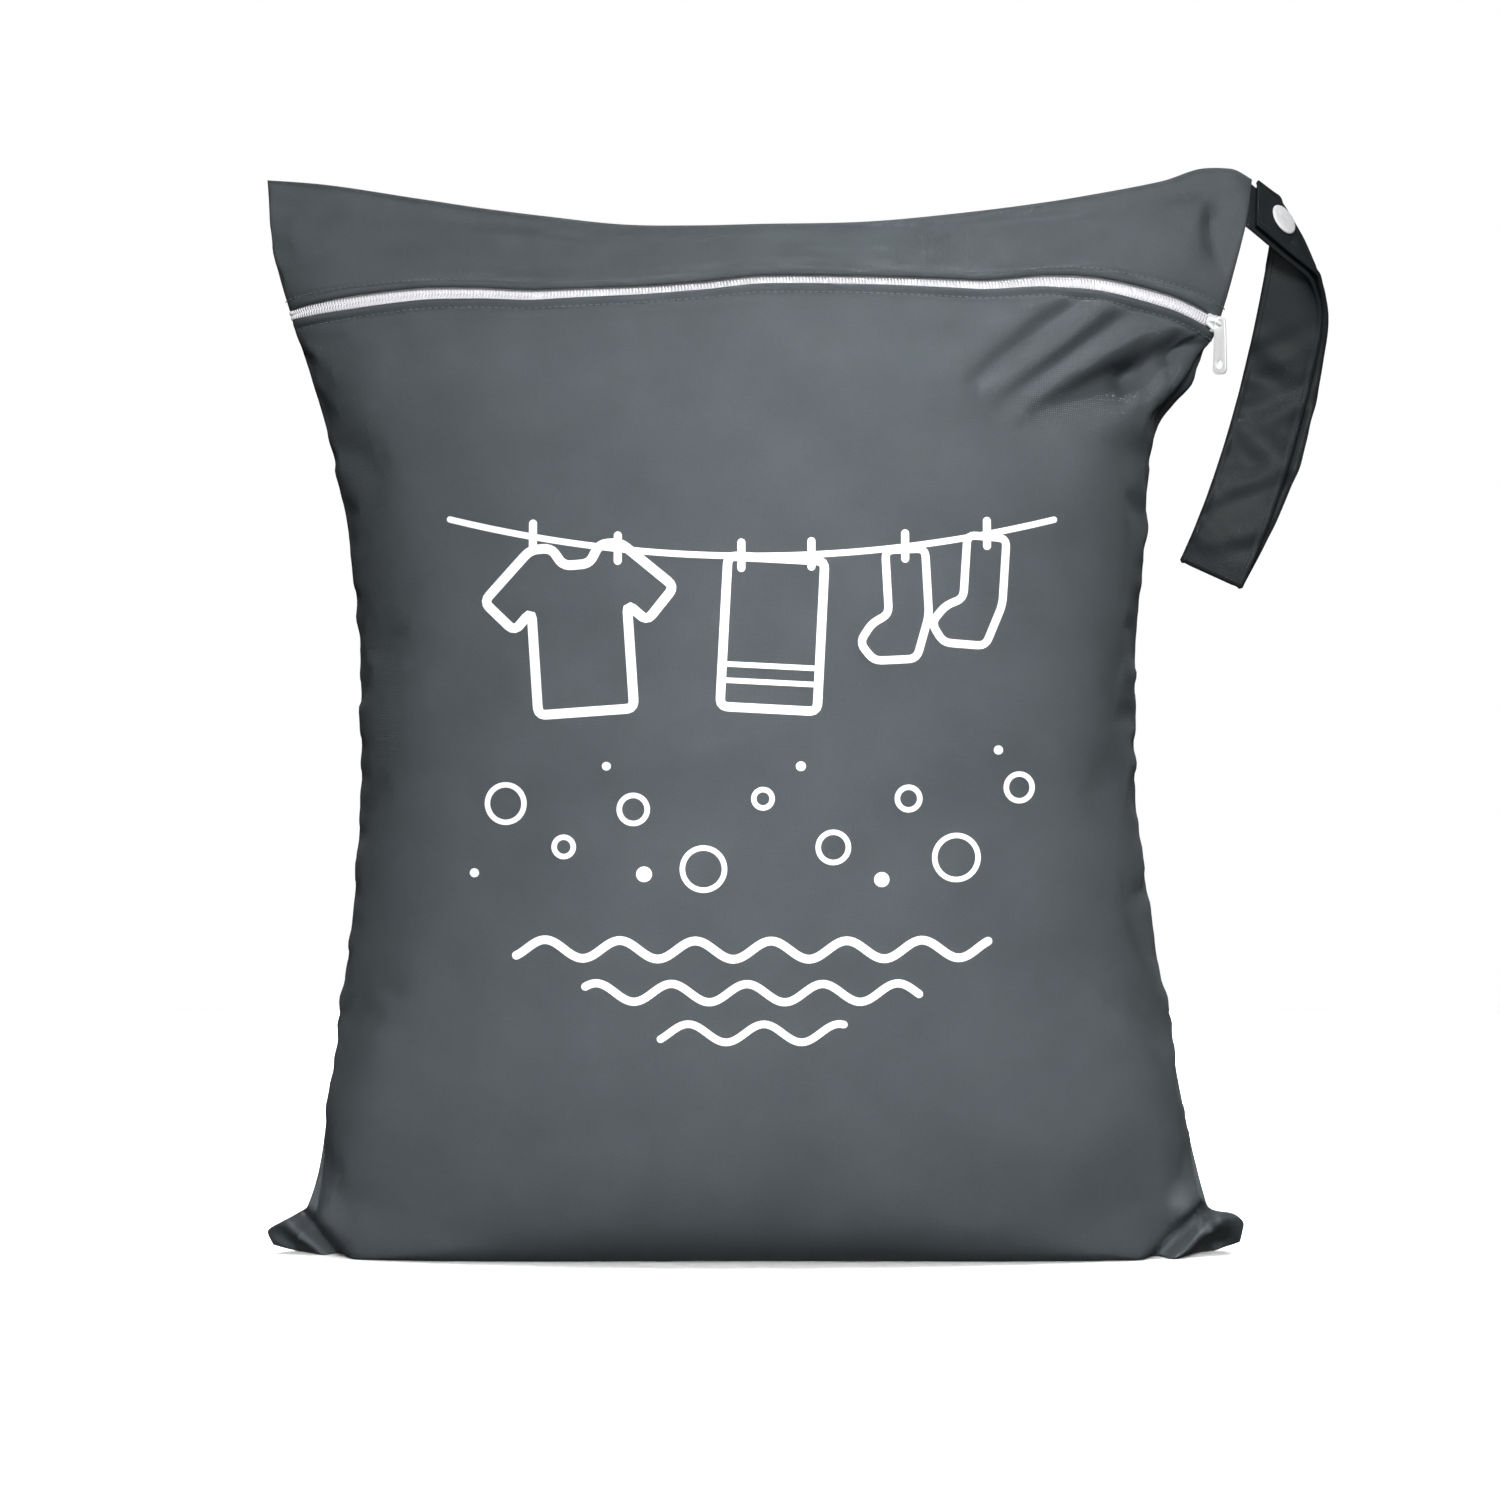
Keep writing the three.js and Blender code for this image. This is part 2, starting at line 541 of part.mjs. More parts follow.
function rolledPoint(along, beside, off) {
  const cross = along * Math.sin(rollSlant) + beside * Math.cos(rollSlant) - STRAP.rollStart;
  const axial = along * Math.cos(rollSlant) - beside * Math.sin(rollSlant);
  const turn = Math.min(rollTurn, Math.max(0, cross / STRAP.rollRadius));
  const before = Math.min(0, cross);
  const after = Math.max(0, cross - rollArc);
  const p = STRAP.root.clone().addScaledVector(rollAxis, axial);
  const flat = STRAP.rollStart + before + STRAP.rollRadius * Math.sin(turn) + after * Math.cos(turn);
  const back = STRAP.rollRadius * (1 - Math.cos(turn)) + after * Math.sin(turn);
  p.addScaledVector(rollCross, flat).addScaledVector(strapOut, -back);
  const normal = strapOut.clone().multiplyScalar(Math.cos(turn)).addScaledVector(rollCross, Math.sin(turn));
  return p.addScaledVector(normal, off);
}

function strapPoint(along, beside, off) {
  if (along <= hangStart) return rolledPoint(along, beside, off);
  const start = rolledPoint(hangStart, 0, 0);
  const arm = rolledPoint(hangStart, beside, off).sub(start);
  const angle = (along - hangStart) / STRAP.swing;
  const sideways = new THREE.Vector3(0, 1, 0);
  const inwards = plumb.clone().applyAxisAngle(sideways, Math.PI / 2);
  start.addScaledVector(plumb, STRAP.swing * Math.sin(angle));
  start.addScaledVector(inwards, STRAP.swing * (1 - Math.cos(angle)));
  return start.add(arm.applyAxisAngle(sideways, angle));
}

// The strap is a ribbon that runs down as the lower layer, turns at the end and comes back as the upper layer.
function strapBody() {
  const stations = [];
  const half = STRAP.wall / 2;
  const layerGap = (along) => between(LAYER_GAPS, "along", "gap", along) / 2;
  const down = [...spread(0, hangStart, 20), ...spread(hangStart, STRAP.reach, 8).slice(1)];
  for (const along of down) {
    stations.push({ face: [along, -layerGap(along) - half], lining: [along, -layerGap(along) + half], skew: 0 });
  }
  const turn = layerGap(STRAP.reach);
  for (const angle of [-0.3, -0.1, 0.1, 0.3].map((share) => share * Math.PI)) {
    const place = (radius) => [STRAP.reach + radius * Math.cos(angle), radius * Math.sin(angle)];
    stations.push({ face: place(turn + half), lining: place(turn - half), skew: 0 });
  }
  for (const along of down.slice(1).reverse().concat(STRAP.freeEnd)) {
    const skew = -STRAP.skew * Math.sin(Math.PI * Math.min(1, Math.max(0, (along - 40) / (STRAP.reach - 40))));
    stations.push({ face: [along, layerGap(along) + half], lining: [along, layerGap(along) - half], skew });
  }
  const beside = spread(0.5, -0.5, 4);
  const widthAt = (along) => {
    const t = Math.min(1, along / 24);
    return STRAP.rootWidth + (STRAP.width - STRAP.rootWidth) * t * t * (3 - 2 * t);
  };
  const place = (s, key, share, slant) =>
    strapPoint(s[key][0] + slant, share * widthAt(s[key][0]) + s.skew, s[key][1]);
  const layer = (key) =>
    stations.map((s, k) => beside.map((share) => place(s, key, share, k === 0 ? STRAP.rootSlant * (share - 0.5) : 0)));
  return bodyBetween(layer("face"), layer("lining"));
}

const snapOrigin = strapPoint(SNAP.along, SNAP.beside, 0);
const snapBasis = new THREE.Matrix4().makeBasis(strapAhead, strapUp, strapOut).setPosition(snapOrigin);
const snapGap = between(LAYER_GAPS, "along", "gap", SNAP.along) / 2;
const snapFace = snapGap + STRAP.wall / 2;
const snapLining = snapGap - STRAP.wall / 2;

function turned(profile, segments) {
  const points = profile.map(([radius, height]) => new THREE.Vector2(radius, height));
  const geometry = new THREE.LatheGeometry(points, segments);
  return geometry.rotateX(Math.PI / 2).applyMatrix4(snapBasis);
}

function disc(sign) {
  const base = snapFace + SEAM_GAP;
  const end = SEAM_GAP / 2;
  const profile = [
    [0, end],
    [SNAP.post, end],
    [SNAP.post, base],
    [SNAP.radius - 0.3, base],
    [SNAP.radius, base + 0.4],
    [SNAP.radius - 0.5, base + SNAP.height * 0.75],
    [SNAP.radius * 0.55, base + SNAP.height],
    [0, base + SNAP.height * 0.85],
  ];
  return sign > 0 ? profile : profile.map(([radius, height]) => [radius, -height]).reverse();
}

function ring() {
  const half = snapLining - SEAM_GAP;
  const bore = SNAP.post + SEAM_GAP;
  return [
    [bore, -half],
    [SNAP.ring, -half],
    [SNAP.ring, half],
    [bore, half],
    [bore, -half],
  ];
}

function strapWithHoles() {
  const drill = new THREE.CylinderGeometry(SNAP.hole, SNAP.hole, 14, 20)
    .rotateX(Math.PI / 2)
    .applyMatrix4(snapBasis);
  return toGeometry(toManifold(strapBody()).subtract(toManifold(drill)));
}

// Assembly
const CLOTH_COLOUR = 0x5c6265;
const METAL_COLOUR = 0xd4d6d8;
const WHITE_COLOUR = 0xecebef;

function piece(name, geometry, colour, roughness, metalness) {
  const body = geometry.index ? geometry.toNonIndexed() : geometry;
  body.deleteAttribute("normal");
  body.computeVertexNormals();
  const mesh = new THREE.Mesh(body, new THREE.MeshStandardMaterial({ color: colour, roughness, metalness }));
  mesh.name = name;
  return mesh;
}

const bag = new THREE.Group();
bag.name = "laundry_bag";
bag.add(
  piece("front_panel", clothWall("front", across, bodyRows, false, true), CLOTH_COLOUR, 0.85, 0),
  piece("top_band", clothWall("front", across, bandRows, true, false), CLOTH_COLOUR, 0.85, 0),
  piece("back_panel", clothWall("back", across, [...bandRows, ...bodyRows], true, true), CLOTH_COLOUR, 0.85, 0),
  piece("zip_tape", tapeBody(), WHITE_COLOUR, 0.9, 0),
  piece("zip_chain", chainBody(), WHITE_COLOUR, 0.5, 0),
  piece("zip_slider", sliderBody(), METAL_COLOUR, 0.35, 1),
  piece("zip_pull", pullBody(), METAL_COLOUR, 0.35, 1),
  piece("strap", strapWithHoles(), CLOTH_COLOUR, 0.85, 0),
  piece("snap_cap", turned(disc(1), 24), WHITE_COLOUR, 0.4, 0),
  piece("snap_socket", turned(ring(), 24), WHITE_COLOUR, 0.4, 0),
  piece("snap_stud", turned(disc(-1), 24), WHITE_COLOUR, 0.4, 0),
);

export default bag;
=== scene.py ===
"""Looks of a filled travel laundry bag: cloth walls, coil zip, pull tab, doubled strap, snap and print."""

import math

import bmesh
import bpy
import numpy as np
from bpy.props import FloatProperty, IntProperty, PointerProperty, StringProperty
from mathutils import Matrix, Vector
from mathutils.bvhtree import BVHTree


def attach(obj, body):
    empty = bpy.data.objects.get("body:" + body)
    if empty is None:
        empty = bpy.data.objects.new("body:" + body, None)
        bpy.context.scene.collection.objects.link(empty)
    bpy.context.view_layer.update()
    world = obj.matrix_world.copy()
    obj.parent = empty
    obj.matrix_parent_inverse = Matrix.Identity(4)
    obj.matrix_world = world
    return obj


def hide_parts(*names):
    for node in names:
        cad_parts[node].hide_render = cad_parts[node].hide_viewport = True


bl_info = {
    "name": "Travel laundry bag",
    "version": (1, 0, 0),
    "blender": (4, 5, 0),
    "location": "View3D > Sidebar > Laundry bag",
    "description": "Builds a filled cloth laundry bag with a zip, a strap and a snap around its solids",
    "category": "Object",
}

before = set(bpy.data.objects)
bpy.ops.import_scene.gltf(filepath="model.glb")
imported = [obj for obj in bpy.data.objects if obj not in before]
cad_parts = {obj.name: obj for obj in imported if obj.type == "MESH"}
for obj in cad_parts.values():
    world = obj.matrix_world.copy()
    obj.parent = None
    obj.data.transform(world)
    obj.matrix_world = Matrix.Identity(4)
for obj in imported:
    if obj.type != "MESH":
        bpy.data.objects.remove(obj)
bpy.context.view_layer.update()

MM = 0.001
BODY, PULL_BODY = "bag", "pull"
FACES = ("front", "back")

# Millimetres, in the frame of the solids: +Z up, the zipped front faces -Y, the strap hangs at +X.
CLOTH = 1.2  # wall of a panel
SEAM_GAP = 0.3  # between two pieces that are sewn or fitted together
SKIN = SEAM_GAP / 2 + CLOTH * 1.25  # from the seams' surface to the outer face of a wall
EDGE_ROUND = 2.4  # radius of a panel's sewn edge
EDGE_WALL = 0.1  # least wall and clearance at a sewn edge
PANEL_HEIGHT = 500.0
ZIP_DROP = 50.0  # from the top seam to the middle of the zip
ZIP_SLOT = 6.4  # between the two cloth lips
SLIDER_AT = 0.885  # across the front: -1 is the left seam and 1 the right one

# One row per line of cloth across the panels: the middle's height and depths, the side seams, and how the
# line runs between them.
SECTION_COLUMNS = (
    "down height front back left_x left_z right_x right_z right_y start bend waist square flare"
).split()
SECTIONS = np.array((
    (0, 402, 0, 0, -189, 417.5, 196, 419, 9, 0, 1.6, 1, 1, 0),
    (22, 393, 18, 19, -187, 393, 191.5, 396, -6, 0, 2, 1, 1, 0),
    (50, 375.5, 41, 43, -179.5, 364.5, 180.6, 357.5, -5, 0, 2.5, 1, 1, 0),
    (75, 355.5, 56, 58, -172.5, 343, 173, 339, -9, 0, 2.2, 1, 1, 0),
    (100, 333, 67, 69, -166, 321.5, 159, 321, -7, 0, 2, 1, 1, 0),
    (118, 316, 73, 75, -162, 306, 154.2, 306, -3, 0, 2, 1, 1, 0),
    (150, 285.5, 82, 83, -157, 278, 153, 278, 0, 0, 2, 1, 1, 0),
    (200, 236.5, 90.5, 91, -152.6, 234, 149.4, 234, 0, 0, 2, 1, 1, 0),
    (250, 186.5, 94, 95, -152.1, 190, 148.8, 190, 0, 0, 2, 1, 1, 0),
    (300, 136.5, 93, 95, -154.3, 146.5, 153, 146.5, 0, 0, 2, 1, 1, 0),
    (350, 87, 87, 91, -158.8, 103, 160, 103, 0, 0, 2, 1, 0.95, 0),
    (400, 38.5, 72, 78, -165, 60.5, 167.5, 60.5, 0, 0.1, 2, 1, 0.8, 0.1),
    (430, 11.5, 53, 59, -168.4, 35, 173, 35, 0, 0.5, 2, 0.99, 0.8, 0.2),
    (454, 0, 27, 34, -173, 18.5, 177.5, 18.5, 0, 0.9, 1.6, 0.98, 0.74, 0.7),
    (477, 0, 8, 16, -182, 13.4, 186.5, 16.5, 0, 0.92, 1.5, 0.97, 0.74, 0.8),
    (490, 0, 2, 10, -188.6, 8.4, 191, 11.5, 0, 0.94, 1.4, 0.94, 0.9, 0.4),
    (500, 0, -5, 5, -187, 2.8, 190.5, 4, 0, 0.95, 1.3, 0.92, 1, 0),
), float)

# Height added to the top seam and to the zip along the bag: x, top, zip.
WAVES = np.array((
    (-200, 0, 0), (-165, 1.8, 0.4), (-130, 0.5, 0), (-105, -0.8, -2), (-80, -1.8, -4.4), (-50, -2.9, -4.4),
    (-20, -1.8, -3), (5, -0.8, -0.6), (45, -1.5, -0.2), (85, -0.6, 0.8), (115, 0.5, 5.8), (135, 1.7, 7.6),
    (160, 3.7, 6.6), (176, 6.8, 3.7), (187, 5.6, 0.6), (197, 0, 0),
), float)
WAVE_REACH = 75  # how far below the zip its waves still show

# Folds and dents as seen from the front: from (x, z) to (x, z), half widths above and below the line, and
# lift (a valley is negative).
FOLDS = {
    "front": (
        (170, 24, 143, 6, 6, 6, 1.6),
        (161, 15, 139, 6, 5, 5, -2.2),
        (166, 353, 108, 324, 4.2, 13, -6.5),
        (146, 357, 106, 329, 4.5, 4.5, 3.2),
        (148, 366, 94, 326, 4, 6, -4.2),
        (134, 365, 92, 331, 5, 5, 2.8),
        (125, 368, 86, 337, 3.6, 5, -3.6),
        (114, 370, 72, 335, 5, 5, 2.5),
        (182, 352, 160, 347, 4.5, 16, -6),
        (150, 338, 154, 335, 6, 8, -9),
        (163, 335, 157, 325, 3.2, 3.2, 2),
        (182, 400, 187, 384, 7, 7, -9),
        (171, 402, 166, 384, 8, 8, 4),
        (147, 406, 125, 393, 5, 5, -1.8),
        (-146, 402, -118, 388, 8, 8, -1.5),
    ),
    "back": (
        (168, 352, 104, 330, 10, 10, -3),
        (-168, 350, -110, 332, 10, 10, -2.5),
    ),
}
# Loss of height at a fold's second end and the fade at the side seams, as shares; the other fades in mm.
FOLD_FADE = {"second_end": 0.6, "side": 0.22, "top": 14, "bottom": 20, "zip": 6}
DENT_ROOM = 0.7  # largest share of a panel's depth that a dent takes

# Creases through both layers of the two lower corners: from (x, z) to (x, z), half width, push to the back.
CORNER_FOLDS = (
    (-175, 15.5, -159, -1, 3.2, 14),
    (-177, 9, -165, -2, 4, -5),
    (-183, 8, -178, 3, 3, 3),
    (173, 17.5, 155, -1, 3.2, 15),
    (180, 13, 160, -3, 3.6, -8),
    (175, 6, 184, 4, 4, 5),
)
# Where the lower corners are drawn forwards and lean: x and its run outwards, z and its run downwards.
CORNER_DRAWN = (154, 20, 40, 26)
CORNER_LEANT = (158, 16, 34, 14)
CORNER = {"draw": 5, "lean": 1.2, "lean_from": 9, "lean_most": 6, "layers": 12}

# The right side under the zip, as distances down the cloth and from the seam.
SIDE_ROLL = {"from": 54, "grow": 14, "to": 112, "fade": 16, "tuck": 3.6, "tuck_reach": 16}
SIDE_BULGE = {"lift": 5, "at": 11, "reach": 9, "clear": 4}

# Gathers along the side seams. A wave is its length, phase and height.
PUCKER = {"reach": 24, "grow": 5, "last": 470, "fade": 40, "right_shift": 40}
PUCKER_WAVES = ((13, 0.4, 0.25), (21, 2.1, 0.25), (34, 4.0, 0.25), (57, 1.2, 0.3))

# How far each cloth lip reaches over the coil along the zip: x, upper lip, lower lip.
LIP_COVER = np.array((
    (-182, 2.1, 2.0), (-172, 1.3, 1.1), (-150, 0.9, 0.6), (-110, 0.9, 0.7), (-60, 1.3, 1.0), (-20, 1.6, 1.2),
    (40, 1.6, 1.2), (95, 1.5, 1.1), (125, 0.9, 0.6), (150, 0.9, 0.6), (182, 1.2, 1.0),
), float)
LIP_ROWS = np.array((0, 0.12, 0.3, 0.6, 1.0, 1.5, 2.1, 2.8, 3.4, 4.0, 4.4, 4.8, 5.4, 6.4, 7.8, 9.6, 11.6))
LIP_STITCH = 4.4  # from a lip's folded edge to its stitch row
LIP_PROUD = {1: 2.7, -1: 0.9}  # rise of the upper and the lower lip at the coil
LIP = {
    "roll": 2.1, "ride": 0.3, "puff": 0.5, "groove": 1.15, "hem": 0.55, "hem_end": 13, "drag": 30, "side": 18,
}
STITCH = {"fill": 0.72, "rise": 0.72}  # share of the pitch that a stitch fills, and its height in the groove

# The run that settles the cloth. Gathers fade from the side seams by a power and from the zip by a width.
CLOTH_RUN = {
    "quality": 6, "mass": 0.15, "tension_stiffness": 25, "compression_stiffness": 25, "shear_stiffness": 8,
    "bending_stiffness": 4, "air_damping": 2, "vertex_group_mass": "sewn", "vertex_group_shrink": "taut",
    "use_pressure": True, "uniform_pressure_force": 2.5, "shrink_max": 0.0,
}
GATHERS = {"side_power": 9, "zip": 0.35, "zip_width": 45, "zip_held": 6}
WRINKLE_CELLS = 4  # cells of the sliding mean that is taken off as the plain shape
ZIP_CALM = (7, 10)  # no wrinkle this near to the zip, and the distance over which they grow

TAPE = {"half": 8.5, "wall": 0.7, "end": 0.985}
COIL = {"sunk": 0.45, "foot": (0, 2.1, -0.4), "crown": (0.2, 1.3, 1.5), "head": (0.4, -0.3, -0.2)}

PLATE = {"length": 8.4, "nose": 4.4, "width": 6.6, "bottom": 1.05, "top": 2.0, "corner": 1.2, "bevel": 0.22}
RAIL = {"half": 0.33, "height": 0.9, "sunk": 0.2, "bevel": 0.12}
BAIL = {"span": 6.4, "wire": 1.1, "width": 1.3, "top": 5.4, "bend": 1.6, "sunk": 0.4, "bevel": 0.3}
PULL = {
    "length": 22.4, "neck": 5.4, "width": 6.6, "wall": 1.0, "eye": 1.45, "tip_hole": 1.6, "tip_rise": 3.8,
    "corner": 2.2, "bevel": 0.24,
}


def linear(code):
    """sRGB hex to the linear colour that a shader takes."""
    values = [int(code.lstrip("#")[i : i + 2], 16) / 255 for i in (0, 2, 4)]
    return tuple(v / 12.92 if v <= 0.04045 else ((v + 0.055) / 1.055) ** 2.4 for v in values) + (1.0,)


class BagSizes(bpy.types.PropertyGroup):
    """Sizes of the bag's fine details."""

    columns: IntProperty(name="Cloth columns", description="Columns of the cloth's grid", default=176, min=24)
    row_step: FloatProperty(name="Cloth row step", description="Step of its rows, mm", default=2.5, min=1)
    stitch_pitch: FloatProperty(name="Stitch pitch", description="One stitch with its gap, mm", default=2.6)
    thread: FloatProperty(name="Thread", description="Thickness of the sewing thread, mm", default=0.5)
    coil_pitch: FloatProperty(name="Coil pitch", description="From one turn to the next, mm", default=1.25)
    coil_wire: FloatProperty(name="Coil wire", description="Radius of the coil's wire, mm", default=0.36)
    sim_columns: IntProperty(name="Run columns", description="Columns of the run's skin", default=72, min=16)
    sim_rows: IntProperty(name="Run rows", description="Rows of the run's skin", default=100, min=16)
    sim_frames: IntProperty(name="Run frames", description="Frames of the cloth run", default=24, min=2)
    gather: FloatProperty(name="Gather", description="Extra length of the cut over its seam", default=0.009)
    wrinkle_cap: FloatProperty(name="Wrinkle cap", description="Largest height of a wrinkle, mm", default=1.8)
    ink: FloatProperty(name="Ink", description="Thickness of the print over the cloth, mm", default=0.14)


class BagColours(bpy.types.PropertyGroup):
    """Colours of the bag's materials, as sRGB hex."""

    cloth: StringProperty(name="Cloth", description="Coated polyester", default="#4B5154")
    cloth_shade: StringProperty(name="Cloth shade", description="Darker cloth threads", default="#414649")
    # The strap is the bag's own cloth. Its two colours are the cloth's colours darkened, which paints the
    # shade that falls on the strap.
    strap: StringProperty(name="Strap", description="Polyester of the strap", default="#272B2D")
    strap_shade: StringProperty(name="Strap shade", description="Darker strap threads", default="#1F2325")
    thread: StringProperty(name="Thread", description="Sewing thread", default="#52585B")
    white: StringProperty(name="White", description="Print", default="#F3F2F6")
    coil: StringProperty(name="Coil", description="Zip coil", default="#E6E5E9")
    resin: StringProperty(name="Resin", description="Snap", default="#DADBDD")
    # The metal is drawn mostly diffuse: its near-white colour is partly the plating's pale tone and partly a
    # painted reflection.
    metal: StringProperty(name="Metal", description="Nickel plating", default="#F3F4F5")
    floor: StringProperty(name="Floor", description="Studio floor", default="#FDFDFD")


def between(table, column, at):
    """A column's values between a table's rows, on a curve that does not overshoot them."""
    keys, values = table[:, 0], table[:, column]
    slopes = np.diff(values) / np.diff(keys)
    product, total = slopes[:-1] * slopes[1:], slopes[:-1] + slopes[1:]
    inner = np.where(product > 0, 2 * product / np.where(product > 0, total, 1), 0)
    tangent = np.concatenate((slopes[:1], inner, slopes[-1:]))
    i = np.clip(np.searchsorted(keys, at, side="left") - 1, 0, len(keys) - 2)
    span = keys[i + 1] - keys[i]
    t = np.clip((at - keys[i]) / span, 0, 1)
    bend = span * t * (1 - t) * (tangent[i] * (1 - t) - tangent[i + 1] * t)
    return values[i] * (1 + 2 * t) * (1 - t) ** 2 + values[i + 1] * t * t * (3 - 2 * t) + bend


def smooth(t):
    """Soft step from 0 to 1."""
    t = np.clip(t, 0, 1)
    return t * t * (3 - 2 * t)


def hump(away, width):
    """Bell curve that is 1 in the middle and nearly 0 at twice its width."""
    return np.exp(-((away / width) ** 2))


def rounded(t, least=0.0):
    """Quarter circle from 0 to 1, for a rounded edge."""
    return np.sqrt(np.maximum(least, 1 - np.clip(1 - t, 0, 1) ** 2))


def ripple(at, *waves):
    """Fixed sum of sines, each given as (length in mm, phase, height)."""
    return sum(height * np.sin(2 * math.pi * at / length + phase) for length, phase, height in waves)


def unit(v):
    return v / np.maximum(np.linalg.norm(v, axis=-1, keepdims=True), 1e-9)


def together(*values):
    """Arrays of numbers in one shape."""
    return np.broadcast_arrays(*(np.asarray(v, float) for v in values))


def run_length(points, axis):
    """Distance along a grid's lines from their first point."""
    step = np.linalg.norm(np.diff(points, axis=axis), axis=-1)
    zero = np.zeros_like(np.take(step, [0], axis=axis))
    return np.concatenate((zero, np.cumsum(step, axis=axis)), axis=axis)


def shape_point(face, across, down, clear, swell=1.0):
    """Points of a panel's swelling surface, moved off the seams' surface by clear."""
    across, down = together(across, down)
    row = {name: between(SECTIONS, k, down) for k, name in enumerate(SECTION_COLUMNS) if k}
    share = np.abs(np.sin(across * math.pi / 2))
    body = np.maximum(0, 1 - (share / row["waist"]) ** 2) ** (row["square"] / 2)
    bulge = body * (1 + row["flare"] * share**2)
    left = across < 0
    edge_x = np.where(left, row["left_x"], row["right_x"])
    edge_z = np.where(left, row["left_z"], row["right_z"])
    edge_y = np.where(left, 0, row["right_y"])
    run = (np.maximum(0, share - row["start"]) / (1 - row["start"])) ** row["bend"]
    side = -1 if face == "front" else 1
    x = edge_x * share
    y = edge_y * share**12 + side * (row[face] * bulge * swell + clear)
    top = between(WAVES, 1, x) * np.maximum(0, 1 - down / ZIP_DROP)
    fade = smooth(1 - np.abs(down - ZIP_DROP) / np.where(down < ZIP_DROP, ZIP_DROP, WAVE_REACH))
    z = row["height"] + (edge_z - row["height"]) * run + top + between(WAVES, 2, x) * fade
    return np.stack((x, y, np.maximum(0, z)), -1)


def outer_normal(face, across, down, clear=SKIN, step=0.004, drop=2):
    """Outward directions of a panel, from its shape a small step away on each side."""
    across, down = together(across, down)
    mid = np.clip(across, -0.998, 0.998)
    ahead, behind = np.clip(across + step, -0.999, 0.999), np.clip(across - step, -0.999, 0.999)
    along = shape_point(face, ahead, down, clear) - shape_point(face, behind, down, clear)
    low, high = np.minimum(PANEL_HEIGHT, down + drop), np.maximum(0, down - drop)
    fall = shape_point(face, mid, low, clear) - shape_point(face, mid, high, clear)
    normal = unit(np.cross(fall, along))
    return normal if face == "front" else -normal


def off_line(p, x1, z1, x2, z2):
    """Distance of points from a line in the front view, the share along it, and whether they lie under it."""
    dx, dz = x2 - x1, z2 - z1
    t = np.clip(((p[..., 0] - x1) * dx + (p[..., 2] - z1) * dz) / (dx * dx + dz * dz), 0, 1)
    off_x, off_z = p[..., 0] - x1 - t * dx, p[..., 2] - z1 - t * dz
    return np.hypot(off_x, off_z), t, off_z * abs(dx) - off_x * dz * np.sign(dx) < 0


def fold_lift(face, across, down, p):
    """Height of the folds and dents, which die out at the seams and at the zip."""
    lift = np.zeros(p.shape[:-1])
    for x1, z1, x2, z2, above, below, height in FOLDS[face]:
        away, t, under = off_line(p, x1, z1, x2, z2)
        lift += height * (1 - FOLD_FADE["second_end"] * t * t) * hump(away, np.where(under, below, above))
    to_side = np.minimum(1, np.cos(across * math.pi / 2) / FOLD_FADE["side"])
    to_end = np.minimum(1, np.minimum(down / FOLD_FADE["top"], (PANEL_HEIGHT - down) / FOLD_FADE["bottom"]))
    to_zip = np.clip((np.abs(down - ZIP_DROP) - FOLD_FADE["zip"]) / FOLD_FADE["zip"], 0, 1)
    return lift * to_side * to_end * to_zip


def cloth_point(face, across, down, lift=0.0, clear=SKIN):
    """Points on the outer face of a panel, raised by lift."""
    across, down = together(across, down)
    p = shape_point(face, across, down, clear)
    normal = outer_normal(face, across, down)
    room = np.abs(p[..., 1] - shape_point(face, across, down, SKIN, 0)[..., 1])
    p = p + normal * np.maximum(-DENT_ROOM * room, fold_lift(face, across, down, p) + lift)[..., None]
    p[..., 2] = np.maximum(0, p[..., 2])
    return p


def zip_frame(across, step=0.004):
    """Middle of the zip, with its directions along, to the side and out of the cloth."""
    point = cloth_point("front", across, ZIP_DROP)
    out = outer_normal("front", across, ZIP_DROP)
    along = cloth_point("front", across + step, ZIP_DROP) - cloth_point("front", across - step, ZIP_DROP)
    along = unit(along - out * (along * out).sum(-1, keepdims=True))
    return point, along, np.cross(out, along), out


def new_piece(name, points, faces, material):
    """Mesh object from points in millimetres, at the origin."""
    mesh = bpy.data.meshes.new(name)
    mesh.from_pydata((np.asarray(points, float).reshape(-1, 3) * MM).tolist(), [], faces)
    return link_piece(name, mesh, material)


def link_piece(name, mesh, material, smooth_faces=True):
    mesh.name = name
    mesh.validate()
    mesh.materials.clear()
    mesh.materials.append(material)
    mesh.polygons.foreach_set("use_smooth", [smooth_faces] * len(mesh.polygons))
    mesh.update()
    return link_object(name, mesh)


def link_object(name, data):
    holder = bpy.data.objects.new(name, data)
    bpy.context.scene.collection.objects.link(holder)
    return holder


def keep_attribute(piece, name, values):
    """Stores a vector for each point, which a material or a node tree reads."""
    layer = piece.data.attributes.new(name, "FLOAT_VECTOR", "POINT")
    layer.data.foreach_set("vector", np.asarray(values, np.float32).reshape(-1))


def evaluated_mesh(holder):
    """Plain mesh of an object with its modifiers, or of a curve."""
    bpy.context.view_layer.update()
    return bpy.data.meshes.new_from_object(holder.evaluated_get(bpy.context.evaluated_depsgraph_get()))


def joined(name, pieces, smooth_faces=True):
    """One mesh of several plain ones."""
    whole = bmesh.new()
    for piece in pieces:
        whole.from_mesh(piece.data)
    material = pieces[0].data.materials[0]
    mesh = bpy.data.meshes.new(name)
    whole.to_mesh(mesh)
    whole.free()
    for piece in pieces:
        bpy.data.objects.remove(piece)
    return link_piece(name, mesh, material, smooth_faces)


def finished_shape(shape, mesh, matrix, weld):
    """Welds a shape in millimetres, turns its faces outwards and sets it in place in a mesh."""
    bmesh.ops.remove_doubles(shape, verts=shape.verts, dist=weld)
    bmesh.ops.recalc_face_normals(shape, faces=shape.faces)
    shape.transform(Matrix.Scale(MM, 4) @ matrix)
    shape.to_mesh(mesh)
    shape.free()
    return mesh


